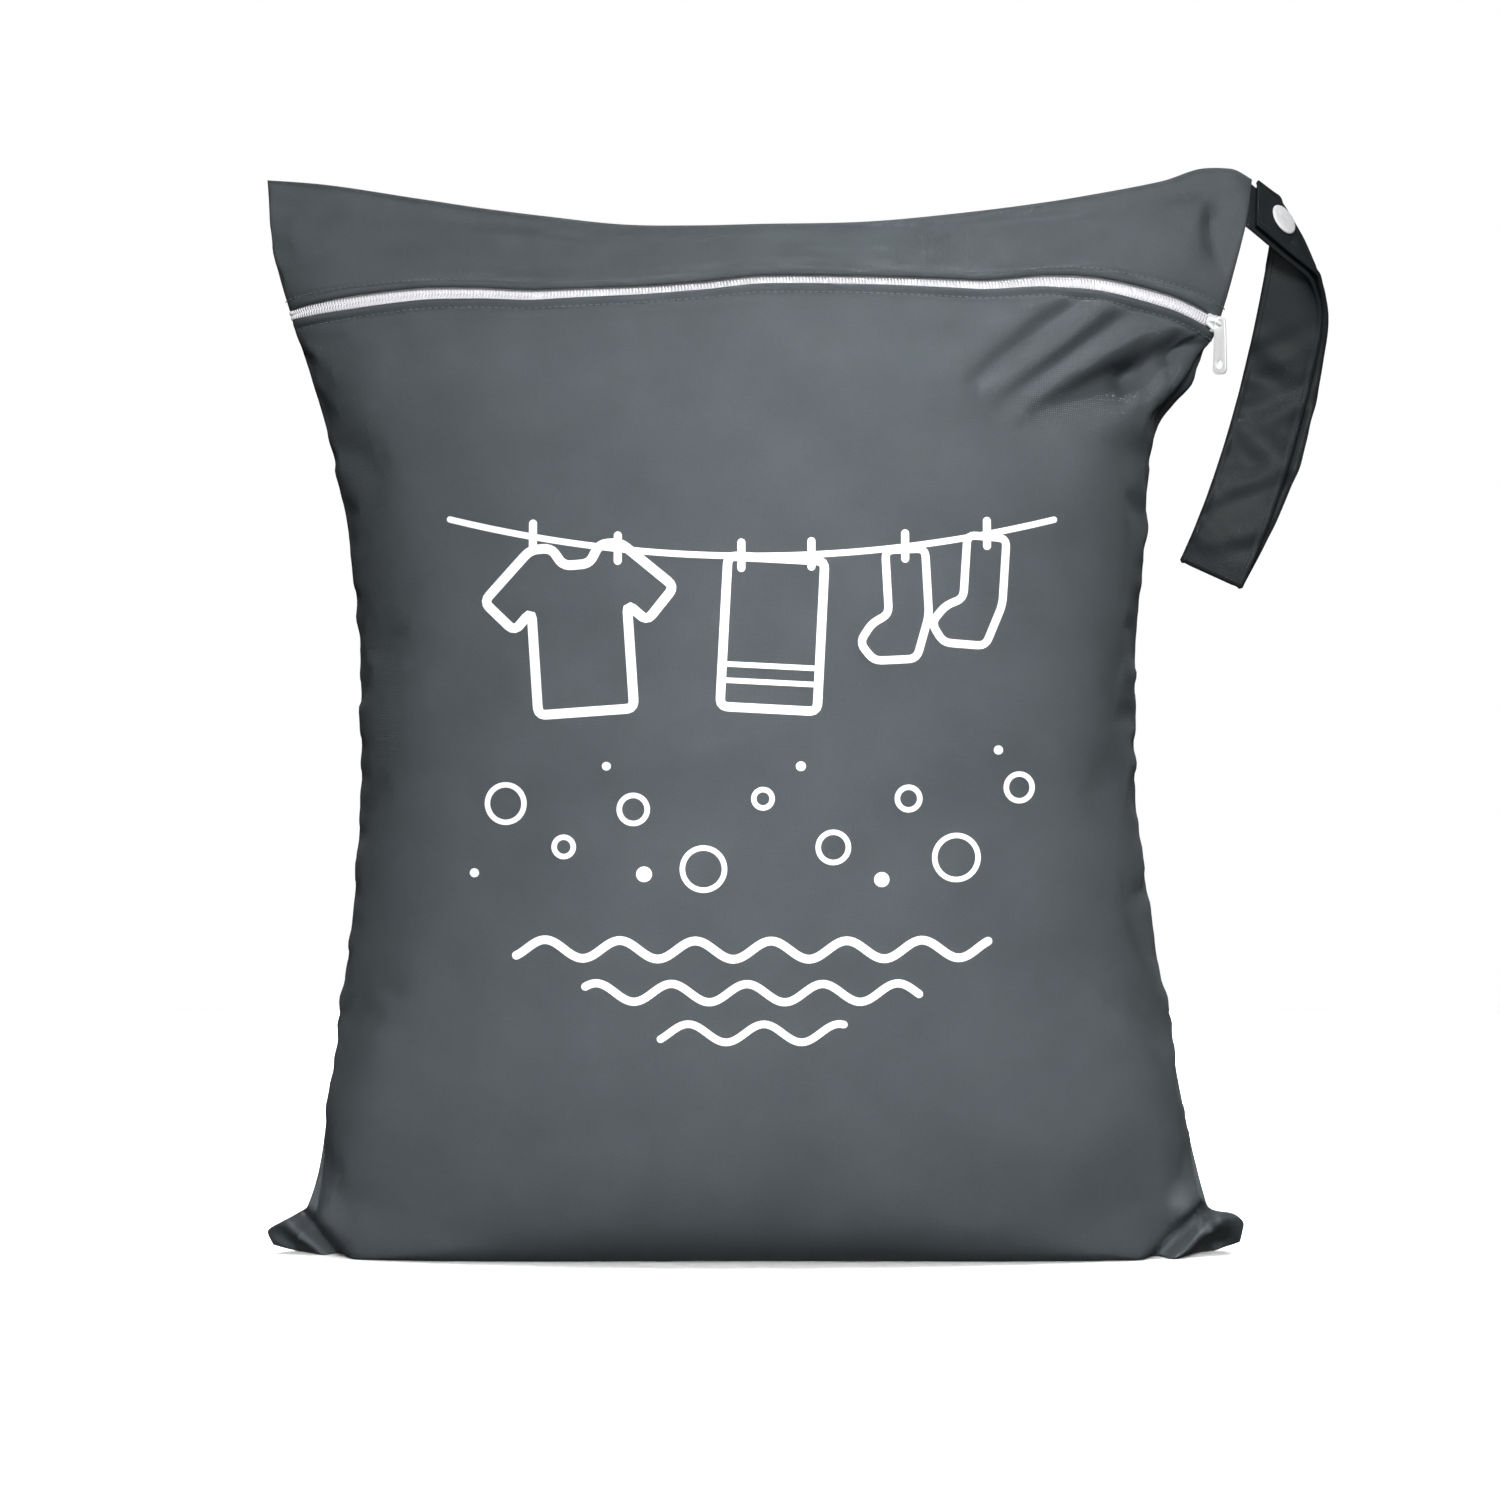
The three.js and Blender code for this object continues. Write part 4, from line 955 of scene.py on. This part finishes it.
def pull_mesh(place, along):
    """Pull tab that hangs plumb on the bail, with its eye and the hole at its tip."""
    hinge = place @ Vector((0, 0, BAIL["top"] - BAIL["wire"] / 2))
    axis = Vector((along[0], along[1], 0)).normalized()
    up = Vector((0, 0, 1))
    eye, half, corner = PULL["neck"] / 2, PULL["width"] / 2, PULL["corner"]
    tip = -(PULL["length"] - eye)
    tab = arc(0, 0, eye, 0, 2, 20)
    tab += arc(-half + corner, tip + corner, corner, 2, 3, 10)
    tab += arc(half - corner, tip + corner, corner, 3, 4, 10)
    ring = arc(0, 0, PULL["eye"], 0, 4, 28)[:-1]
    hole = arc(0, tip + PULL["tip_rise"], PULL["tip_hole"], 0, 4, 28)[:-1]
    swing = basis(up.cross(axis), up, axis, hinge)
    return plate_mesh([tab, ring, hole], PULL["wall"], PULL["bevel"], swing)


class LAUNDRYBAG_OT_slider(bpy.types.Operator):
    """Metal slider with its bail, and the pull tab that hangs on it"""

    bl_idname = "laundrybag.slider"
    bl_label = "Slider and pull tab"

    def execute(self, context):
        metal = material_of(nickel_plate, "Nickel plated zinc with painted reflection", context.scene.bag_colours.metal)
        point, along, side, out = (v[0] for v in zip_frame(np.array([SLIDER_AT])))
        place = basis(along, side, out, point)
        slider = joined("slider", [link_piece("slider_part", mesh, metal) for mesh in slider_meshes(place)])
        pull = link_piece("pull_tab", pull_mesh(place, along), metal)
        for piece, body, node in ((slider, BODY, "zip_slider"), (pull, PULL_BODY, "zip_pull")):
            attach(piece, body)
            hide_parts(node)
        return {"FINISHED"}


# The doubled strap leaves the side seam, rolls backwards over a slanting axis and then hangs on a wide arc.
STRAP = {
    "width": 27.0, "root_width": 25.0, "wall": 1.5, "reach": 164.0, "roll_start": 15.6, "roll_radius": 4.6,
    "swing": 420.0, "free_end": 0.8, "skew": 3.0, "skew_from": 40, "edge": 1.1, "welt": 0.3,
}
STRAP_EASE = {"reach": 15, "from": 22, "grow": 22, "end": 40}  # how the roll is eased into a wide bend
STRAP_BOW = {"depth": 7.0, "out_from": 34, "out_run": 52, "in_from": 92, "in_run": 62}
STRAP_ROOT = np.array((195.5, 2.2, 409.3))
STRAP_UP = unit(np.array((0.08, 0.63, 0.772)))
STRAP_AHEAD = unit(np.cross(STRAP_UP, (0.68, -0.6, 0.42)))
STRAP_OUT = np.cross(STRAP_AHEAD, STRAP_UP)
PLUMB = unit(np.array((-0.17, 0, -0.985)))
ROLL_SLANT = math.atan2(1 - PLUMB @ STRAP_AHEAD, -PLUMB @ STRAP_UP)
ROLL_TURN = math.acos(1 - (1 - PLUMB @ STRAP_AHEAD) / math.sin(ROLL_SLANT) ** 2)
ROLL_AXIS = STRAP_AHEAD * math.cos(ROLL_SLANT) - STRAP_UP * math.sin(ROLL_SLANT)
ROLL_CROSS = STRAP_AHEAD * math.sin(ROLL_SLANT) + STRAP_UP * math.cos(ROLL_SLANT)
ROLL_ARC = ROLL_TURN * STRAP["roll_radius"]
HANG_START = (
    STRAP["roll_start"] + ROLL_ARC + STRAP["width"] / 2 * math.cos(ROLL_SLANT)
) / math.sin(ROLL_SLANT) + 0.5
# Distance between the two layers along the strap.
LAYER_GAPS = np.array(((0, 3.6), (30, 3.6), (75, 6.8), (115, 9.4), (145, 5.6), (164, 2.2)), float)
SNAP = {"along": 14.5, "radius": 6.4, "height": 1.5, "post": 1.6, "ring": 4.6, "round": 0.2}


def rolled_point(along, beside, off):
    """Points of the strap's flat start and of its roll."""
    cross = along * math.sin(ROLL_SLANT) + beside * math.cos(ROLL_SLANT) - STRAP["roll_start"]
    axial = along * math.cos(ROLL_SLANT) - beside * math.sin(ROLL_SLANT)
    turn = np.clip(cross / STRAP["roll_radius"], 0, ROLL_TURN)
    before, after = np.minimum(0, cross), np.maximum(0, cross - ROLL_ARC)
    flat = STRAP["roll_start"] + before + STRAP["roll_radius"] * np.sin(turn) + after * np.cos(turn)
    back = STRAP["roll_radius"] * (1 - np.cos(turn)) + after * np.sin(turn)
    p = STRAP_ROOT + ROLL_AXIS * axial[..., None] + ROLL_CROSS * flat[..., None] - STRAP_OUT * back[..., None]
    normal = STRAP_OUT * np.cos(turn)[..., None] + ROLL_CROSS * np.sin(turn)[..., None]
    return p + normal * off[..., None]


def turned_y(v, angle):
    """Vectors turned about +Y."""
    c, s = np.cos(angle), np.sin(angle)
    return np.stack((v[..., 0] * c + v[..., 2] * s, v[..., 1], v[..., 2] * c - v[..., 0] * s), -1)


def strap_point(along, beside, off):
    """Points of the strap: along it, beside its middle line and off its middle layer."""
    along, beside, off = together(along, beside, off)
    rolled = rolled_point(np.minimum(along, HANG_START), beside, off)
    start = rolled_point(np.array(HANG_START), np.array(0.0), np.array(0.0))
    angle = np.maximum(0, along - HANG_START) / STRAP["swing"]
    inwards = turned_y(PLUMB, np.array(math.pi / 2))
    path = start + PLUMB * (STRAP["swing"] * np.sin(angle))[..., None]
    path = path + inwards * (STRAP["swing"] * (1 - np.cos(angle)))[..., None]
    hung = path + turned_y(rolled - start, angle)
    return np.where((along <= HANG_START)[..., None], rolled, hung)


def eased_strap(along, beside, off):
    """Strap points with the roll eased into a wide bend beyond the snap, and a bow in the hanging length."""
    ease, bow = STRAP_EASE, STRAP_BOW
    reach = ease["reach"] * smooth((along - ease["from"]) / ease["grow"])
    reach = reach * smooth((STRAP["reach"] - along) / ease["end"])
    parts = [strap_point(along + reach * t, beside, off) for t in np.linspace(-1, 1, 9)]
    points = sum(parts) / len(parts)
    out, back = (smooth((along - bow[way + "_from"]) / bow[way + "_run"]) for way in ("out", "in"))
    points[..., 1] += bow["depth"] * (out - back)
    return points


def layer_gap(at):
    """Half of the distance between the two layers."""
    return between(LAYER_GAPS, 1, at) / 2


def strap_stations():
    """Places along the ribbon, down the back layer and up the front one: along, off the middle, skew."""
    down = np.concatenate((np.linspace(0, HANG_START, 70), np.linspace(HANG_START, STRAP["reach"], 60)[1:]))
    end = float(layer_gap(np.array(STRAP["reach"])))
    angle = np.linspace(-0.5, 0.5, 12)[1:-1] * math.pi
    back = np.append(down[1:][::-1], STRAP["free_end"])
    along = np.concatenate((down, STRAP["reach"] + end * np.cos(angle), back))
    off = np.concatenate((-layer_gap(down), end * np.sin(angle), layer_gap(back)))
    swing = np.clip((back - STRAP["skew_from"]) / (STRAP["reach"] - STRAP["skew_from"]), 0, 1)
    skew = np.concatenate((np.zeros(len(down) + len(angle)), -STRAP["skew"] * np.sin(math.pi * swing)))
    return along, off, skew


def strap_creases(along, share):
    """Height of the soft slanting creases and the wavy edge of the hanging length."""
    place, turned = along + 14 * share, along - 22 * share
    crease = ripple(place, (29, 0.7, 0.8), (47, 2.6, 1.0), (17, 1.3, 0.5))
    crease = crease * (0.6 + 0.4 * np.cos(2 * math.pi * turned / 38))
    crease = crease + ripple(turned, (13, 0.2, 0.25), (23, 2.0, 0.5))
    crease = crease + 0.7 * hump(share - 0.5, 0.2) * np.sin(along / 1.9)
    return crease * smooth((along - 50) / 40) * smooth((STRAP["reach"] - 3 - along) / 12)


class LAUNDRYBAG_OT_strap(bpy.types.Operator):
    """Doubled hand strap"""

    bl_idname = "laundrybag.strap"
    bl_label = "Strap"

    def execute(self, context):
        colours = context.scene.bag_colours
        # A darkened copy of the cloth: painted shade on the strap.
        cloth = material_of(
            coated_polyester, "Strap polyester in painted shade", colours.strap_shade, colours.strap, 0.45, 0.09, 0.0
        )
        along, off, skew = (v[:, None] for v in strap_stations())
        share = np.linspace(0.5, -0.5, 25)
        edge = np.minimum(0.5 - share, 0.5 + share) * STRAP["width"]
        thick = STRAP["wall"] / 2 * rounded(edge / STRAP["edge"], 0.02)
        thick = thick + STRAP["welt"] * (hump(edge - STRAP["edge"], 0.8) - hump(edge - 2.7, 0.7))
        width = STRAP["root_width"] + (STRAP["width"] - STRAP["root_width"]) * smooth(along / 24)
        slant = np.zeros((len(along), len(share)))
        slant[0] = -2.0 - 2.5 * (share + 0.5)
        middle = eased_strap(along + slant, share * width + skew, off)
        crease = strap_creases(along, share)
        normal = unit(np.cross(np.gradient(middle, axis=1), np.gradient(middle, axis=0)))
        outer = middle + normal * (thick + crease)[..., None]
        inner = middle - normal * (thick - crease)[..., None]
        run = run_length(np.concatenate((along, off), 1), 0)[:, None]
        flat = np.stack(np.broadcast_arrays(share * STRAP["width"], -run, np.zeros((1, 1))), -1)
        strap = wall_piece("strap_cloth", outer, inner, cloth, True, flat)
        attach(strap, BODY)
        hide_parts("strap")
        return {"FINISHED"}


def lathe(name, profile, matrix, material, count=48):
    """Turned piece from (radius, height) pairs in mm, which start and end on the axis or close a ring."""
    shape = bmesh.new()
    angle = np.linspace(0, 2 * math.pi, count, endpoint=False)
    rings = []
    for radius, height in profile:
        if radius < 1e-6:
            rings.append([shape.verts.new((0, 0, height))])
        else:
            places = [(radius * math.cos(a), radius * math.sin(a), height) for a in angle]
            rings.append([shape.verts.new(place) for place in places])
    for low, high in zip(rings, rings[1:]):
        for k in range(count):
            j = k + 1
            ring = [low[k % len(low)], low[j % len(low)], high[j % len(high)], high[k % len(high)]]
            shape.faces.new(list(dict.fromkeys(ring)))
    return link_piece(name, finished_shape(shape, bpy.data.meshes.new(name), matrix, 1e-5), material)


class LAUNDRYBAG_OT_snap(bpy.types.Operator):
    """Resin snap: cap, socket and stud through the strap's two layers"""

    bl_idname = "laundrybag.snap"
    bl_label = "Snap"

    def execute(self, context):
        resin = material_of(white_plastic, "Moulded resin", context.scene.bag_colours.resin, 0.34, 1.2)
        place = basis(STRAP_AHEAD, STRAP_UP, STRAP_OUT, strap_point(SNAP["along"], 0.0, 0.0))
        gap = float(layer_gap(np.array(SNAP["along"])))
        base, radius, height = gap + STRAP["wall"] / 2 + SEAM_GAP, SNAP["radius"], SNAP["height"]
        disc = [(0, SEAM_GAP / 2), (SNAP["post"], SEAM_GAP / 2), (SNAP["post"], base)]
        rim = ((0.45, 0), (0.15, 0.1), (0, 0.4), (0.08, 0.65), (0.35, 0.92), (0.9, 1.12))
        disc += [(radius - inset, base + rise) for inset, rise in rim]
        disc += [(radius * t, base + height * (1 - 0.25 * t * t)) for t in (0.72, 0.5, 0.32)]
        disc += [(radius * t, base + height * rise) for t, rise in ((0.2, 0.94), (0.1, 0.89), (0, 0.88))]
        half, bore = gap - STRAP["wall"] / 2 - SEAM_GAP, SNAP["post"] + SEAM_GAP
        wide, soft = SNAP["ring"], SNAP["round"]
        ring = [(bore, -half), (wide - soft, -half), (wide, -half + soft)]
        ring += [(wide, half - soft), (wide - soft, half), (bore, half), (bore, -half)]
        under = [(r, -h) for r, h in disc]
        for node, profile in (("snap_cap", disc), ("snap_socket", ring), ("snap_stud", under)):
            piece = lathe(node + "_resin", profile, place, resin)
            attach(piece, BODY)
            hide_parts(node)
        return {"FINISHED"}


class LAUNDRYBAG_OT_stitches(bpy.types.Operator):
    """Stitch rows along both zip lips"""

    bl_idname = "laundrybag.stitches"
    bl_label = "Stitches"

    def execute(self, context):
        sizes = context.scene.bag_sizes
        thread = material_of(sewing_thread, "Polyester thread", context.scene.bag_colours.thread)
        tree = row_tree(
            "Stitch row",
            (
                ("Pitch", "NodeSocketFloat", 0.0026),
                ("Thread", "NodeSocketFloat", 0.0004),
                ("Fill", "NodeSocketFloat", STITCH["fill"]),
            ),
            one_stitch,
        )
        values = {
            "Pitch": sizes.stitch_pitch * MM, "Thread": sizes.thread / 2 * MM, "Fill": STITCH["fill"],
            "Material": thread,
        }
        rows = []
        across = np.linspace(-0.975, 0.975, 400)
        x = shape_point("front", across, ZIP_DROP, SKIN)[..., 0]
        for lip in (1, -1):
            cover = lip_cover(lip, x)
            down = ZIP_DROP - lip * (ZIP_SLOT / 2 + LIP_STITCH - cover * smooth(1 - LIP_STITCH / LIP["drag"]))
            lift = lip_lift(np.array(LIP_STITCH), cover, 0.0, sizes.stitch_pitch, LIP_PROUD[lip])
            points = cloth_point("front", across, down, lift + STITCH["rise"])
            rows.append(grown_row("stitch_row", points, outer_normal("front", across, down), tree, values))
        stitches = joined("lip_stitches", rows)
        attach(stitches, BODY)
        return {"FINISHED"}


# Drawing of a drying line over water, as seen from the front: corner points in mm from where each hangs.
SHIRT = (
    (-9, 0), (-5, -7), (5, -7), (9, 0), (17, 0), (36, -18), (25, -30), (18, -23), (18, -62), (-18, -62),
    (-18, -23), (-25, -30), (-36, -18), (-17, 0),
)
TOWEL = ((-18, 0), (18, 0), (18, -56), (-18, -56))
SOCK = ((-7.5, 0), (7.5, 0), (7.5, -25), (2, -41), (-14, -41), (-19, -34), (-14, -27), (-7.5, -24))
# Corner points, x, stroke width, lean in degrees.
HANGING = ((SHIRT, -66, 3.6, 4), (TOWEL, 9, 3.4, -3), (SOCK, 57, 3.0, 3), (SOCK, 88, 3.0, -4))
TOWEL_STRIPES = (-40, -46)
PEGS = (-82, -50, -4, 22, 57, 88)
# Bubbles and dots: x, z, radius.
BUBBLES = (
    (-92, 176, 7.0), (-70, 160, 3.6), (-44, 174, 5.2), (-18, 152, 7.8), (4, 178, 3.4), (30, 160, 5.6),
    (58, 178, 4.2), (76, 156, 8.2), (100, 182, 5.0),
)
DOTS = ((-104, 150, 1.7), (-54, 190, 1.6), (-40, 150, 2.9), (18, 190, 1.8), (48, 148, 2.8), (92, 196, 1.7))
RIPPLES = ((122, 88, 0.0, 3.2), (106, 62, 2.0, 3.0), (91, 34, 0.6, 2.8))  # z, half length, phase, width
RIPPLE = {"height": 3.4, "length": 28}
CORD = {"half": 114, "low": 268, "sag": 15, "width": 2.4}


def outline(points, radius=3.0, closed=True, step=1.2):
    """Line through corner points with its corners rounded, sampled at about every step."""
    corners = np.asarray(points, float)
    line = []
    for k, here in enumerate(corners):
        before, after = corners[k - 1] - here, corners[(k + 1) % len(corners)] - here
        if not closed and k in (0, len(corners) - 1):
            line.append(here[None])
            continue
        first = here + before * min(0.45, radius / np.linalg.norm(before))
        last = here + after * min(0.45, radius / np.linalg.norm(after))
        t = np.linspace(0, 1, 7)[:, None]
        line.append(first * (1 - t) ** 2 + 2 * here * t * (1 - t) + last * t * t)
    line = np.concatenate(line + ([line[0][:1]] if closed else []))
    run = run_length(line, 0)
    at = np.linspace(0, run[-1], max(4, int(run[-1] / step)) + 1)
    return np.stack([np.interp(at, run, line[:, k]) for k in range(2)], -1)


def cord_height(x):
    return CORD["low"] + CORD["sag"] * (x / CORD["half"]) ** 2


def print_strokes():
    """Strokes of the drawing: (line, width)."""
    x = np.linspace(-CORD["half"], CORD["half"], 100)
    strokes = [(np.stack((x, cord_height(x)), -1), CORD["width"])]
    for shape, at, width, lean in HANGING:
        c, s = math.cos(math.radians(lean)), math.sin(math.radians(lean))
        turned = [(at + u * c - v * s, cord_height(at) - 1 + u * s + v * c) for u, v in shape]
        strokes.append((outline(turned), width))
    for height in TOWEL_STRIPES:
        stripe = [(9 + u + 0.05 * height, CORD["low"] - 1 + height - 0.05 * u) for u in (-16, 16)]
        strokes.append((outline(stripe, 1, False), 2.0))
    for at in PEGS:
        strokes.append((outline([(at, cord_height(at) + 5), (at, cord_height(at) - 4.5)], 1, False), 3.0))
    for at, z, radius in BUBBLES:
        angle = np.linspace(0, 2 * math.pi, int(radius * 5) + 12)
        strokes.append((np.stack((at + radius * np.cos(angle), z + radius * np.sin(angle)), -1), 2.0))
    for at, z, radius in DOTS:
        strokes.append((np.array([(at - 0.05, z), (at + 0.05, z)]), 2 * radius))
    for z, half, phase, width in RIPPLES:
        x = np.linspace(-half, half, int(half * 1.6))
        wave = RIPPLE["height"] * np.sin(x / RIPPLE["length"] * 2 * math.pi + phase)
        strokes.append((np.stack((x, z + wave), -1), width))
    return strokes


def stroke_grid(line, width):
    """Ribbon with round ends along a line: rows of three points across it, and whether it is a ring."""
    closed = np.linalg.norm(line[0] - line[-1]) < 1e-6
    if closed:
        line = line[:-1]
        tangent = unit(np.roll(line, -1, 0) - np.roll(line, 1, 0))
    else:
        tangent = unit(np.gradient(line, axis=0))
    side = np.stack((-tangent[:, 1], tangent[:, 0]), -1) * width / 2
    rows = list(np.stack((line + side, line, line - side), 1))
    if not closed:
        for end, sign in ((0, -1), (-1, 1)):
            tip = tangent[end] * sign * width / 2
            for angle in (0.35, 0.7, 1.0, 1.25, 1.45):
                row = line[end] + tip * math.sin(angle) + np.outer((1, 0, -1), side[end]) * math.cos(angle)
                rows.insert(0 if end == 0 else len(rows), row)
    return np.array(rows), closed


class LAUNDRYBAG_OT_print(bpy.types.Operator):
    """White line print on the front"""

    bl_idname = "laundrybag.print"
    bl_label = "Print"

    def execute(self, context):
        ink = material_of(printing_ink, "Printing ink", context.scene.bag_colours.white)
        front = bpy.data.objects["front_cloth"].data
        cloth = BVHTree.FromPolygons(
            [v.co.copy() for v in front.vertices], [tuple(p.vertices) for p in front.polygons]
        )
        parts = []
        for k, (line, width) in enumerate(print_strokes()):
            grid, closed = stroke_grid(line, width)
            rise = context.scene.bag_sizes.ink + 0.01 * (k % 8)
            outer, inner = [], []
            for x, z in grid.reshape(-1, 2):
                hit, normal, _, _ = cloth.ray_cast(Vector((x * MM, -0.4, z * MM)), Vector((0, 1, 0)))
                if hit is None:
                    raise RuntimeError(f"The print misses the cloth at {x:.0f}, {z:.0f}")
                outer.append(hit / MM + normal * rise)
                inner.append(hit / MM - normal * 0.3)
            faces = shell_faces(*grid.shape[:2], True, closed)
            parts.append(new_piece("stroke", np.array(outer + inner), faces, ink))
        drawing = joined("front_print", parts, False)
        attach(drawing, BODY)
        return {"FINISHED"}


# The stage, in metres. A light is its name, place, aim, size, spread in degrees and power in watts.
FLOOR_RADIUS = 1.7
LIGHTS = (
    ("key", (0.1, -2.4, 1.2), (0, 0, 0.25), 0.7, 180, 65),
    ("card", (0, -1.5, 0.1), (0, 0, 0.05), 0.8, 180, 9),
    ("low", (0, -1.4, 0.16), (0, 0, 0.0), 0.4, 20, 0.26),
    ("top", (0.15, -1.0, 2.4), (0.06, -0.06, 0.35), 0.3, 11, 0.34),
    ("back card", (0.3, 2.6, 1.5), (0, 0, 0.2), 1.6, 180, 115),
    ("floor", (0, 0, 3.2), (0, 0, 0), 5.0, 180, 260),
)
CAMERA = {"place": (-0.0008, -1.8, 0.196), "sensor": 36, "lens": 110.77}


class LAUNDRYBAG_OT_stage(bpy.types.Operator):
    """Pale floor, soft lights and the camera"""

    bl_idname = "laundrybag.stage"
    bl_label = "Stage"

    def execute(self, context):
        scene = context.scene
        paper = material_of(floor_paper, "Matt paper", scene.bag_colours.floor)
        angle = np.linspace(0, 2 * math.pi, 96, endpoint=False)
        ring = np.stack((np.cos(angle), np.sin(angle), np.zeros_like(angle)), -1)
        floor = new_piece("floor", ring * FLOOR_RADIUS / MM, [list(range(len(angle)))], paper)
        floor.visible_diffuse = floor.visible_glossy = False
        floor_only = bpy.data.collections.new("floor only")
        floor_only.objects.link(floor)
        world = scene.world or bpy.data.worlds.new("World")
        scene.world = world
        world.use_nodes = True
        world.node_tree.nodes.clear()
        sky = add_node(
            world.node_tree, "ShaderNodeBackground", None, {"Color": (1, 1, 1, 1), "Strength": 1.0}
        )
        add_node(world.node_tree, "ShaderNodeOutputWorld", None, {"Surface": sky.outputs[0]})
        world.cycles_visibility.diffuse = False
        world.cycles_visibility.glossy = False
        for name, place, aim, size, spread, power in LIGHTS:
            lamp = bpy.data.lights.new(name, "AREA")
            lamp.shape = "DISK"
            lamp.size = size
            lamp.spread = math.radians(spread)
            lamp.energy = power
            light = link_object(name, lamp)
            light.location = place
            light.rotation_euler = (Vector(aim) - Vector(place)).to_track_quat("-Z", "Y").to_euler()
            light.visible_glossy = name != "back card"
            if name == "floor":
                light.light_linking.receiver_collection = floor_only
        view = bpy.data.cameras.new("camera")
        view.sensor_width = CAMERA["sensor"]
        view.lens = CAMERA["lens"]
        scene.camera = link_object("camera", view)
        scene.camera.location = CAMERA["place"]
        scene.camera.rotation_euler = (math.pi / 2, 0, 0)
        scene.view_settings.view_transform = "Standard"
        return {"FINISHED"}


STEPS = (
    LAUNDRYBAG_OT_cloth,
    LAUNDRYBAG_OT_zip,
    LAUNDRYBAG_OT_slider,
    LAUNDRYBAG_OT_strap,
    LAUNDRYBAG_OT_snap,
    LAUNDRYBAG_OT_stitches,
    LAUNDRYBAG_OT_print,
    LAUNDRYBAG_OT_stage,
)


class LAUNDRYBAG_PT_build(bpy.types.Panel):
    """Steps that build the bag"""

    bl_idname = "LAUNDRYBAG_PT_build"
    bl_label = "Laundry bag"
    bl_space_type = "VIEW_3D"
    bl_region_type = "UI"
    bl_category = "Laundry bag"

    def draw(self, context):
        for group in (context.scene.bag_sizes, context.scene.bag_colours):
            for name in group.__annotations__:
                self.layout.prop(group, name)
        for step in STEPS:
            self.layout.operator(step.bl_idname)


CLASSES = (BagSizes, BagColours, *STEPS, LAUNDRYBAG_PT_build)


def register():
    for cls in CLASSES:
        bpy.utils.register_class(cls)
    bpy.types.Scene.bag_sizes = PointerProperty(type=BagSizes)
    bpy.types.Scene.bag_colours = PointerProperty(type=BagColours)


def unregister():
    del bpy.types.Scene.bag_colours
    del bpy.types.Scene.bag_sizes
    for cls in reversed(CLASSES):
        bpy.utils.unregister_class(cls)


def main():
    register()
    bpy.ops.laundrybag.cloth()
    bpy.ops.laundrybag.zip()
    bpy.ops.laundrybag.slider()
    bpy.ops.laundrybag.strap()
    bpy.ops.laundrybag.snap()
    bpy.ops.laundrybag.stitches()
    bpy.ops.laundrybag.print()
    bpy.ops.laundrybag.stage()


if __name__ == "__main__":
    main()
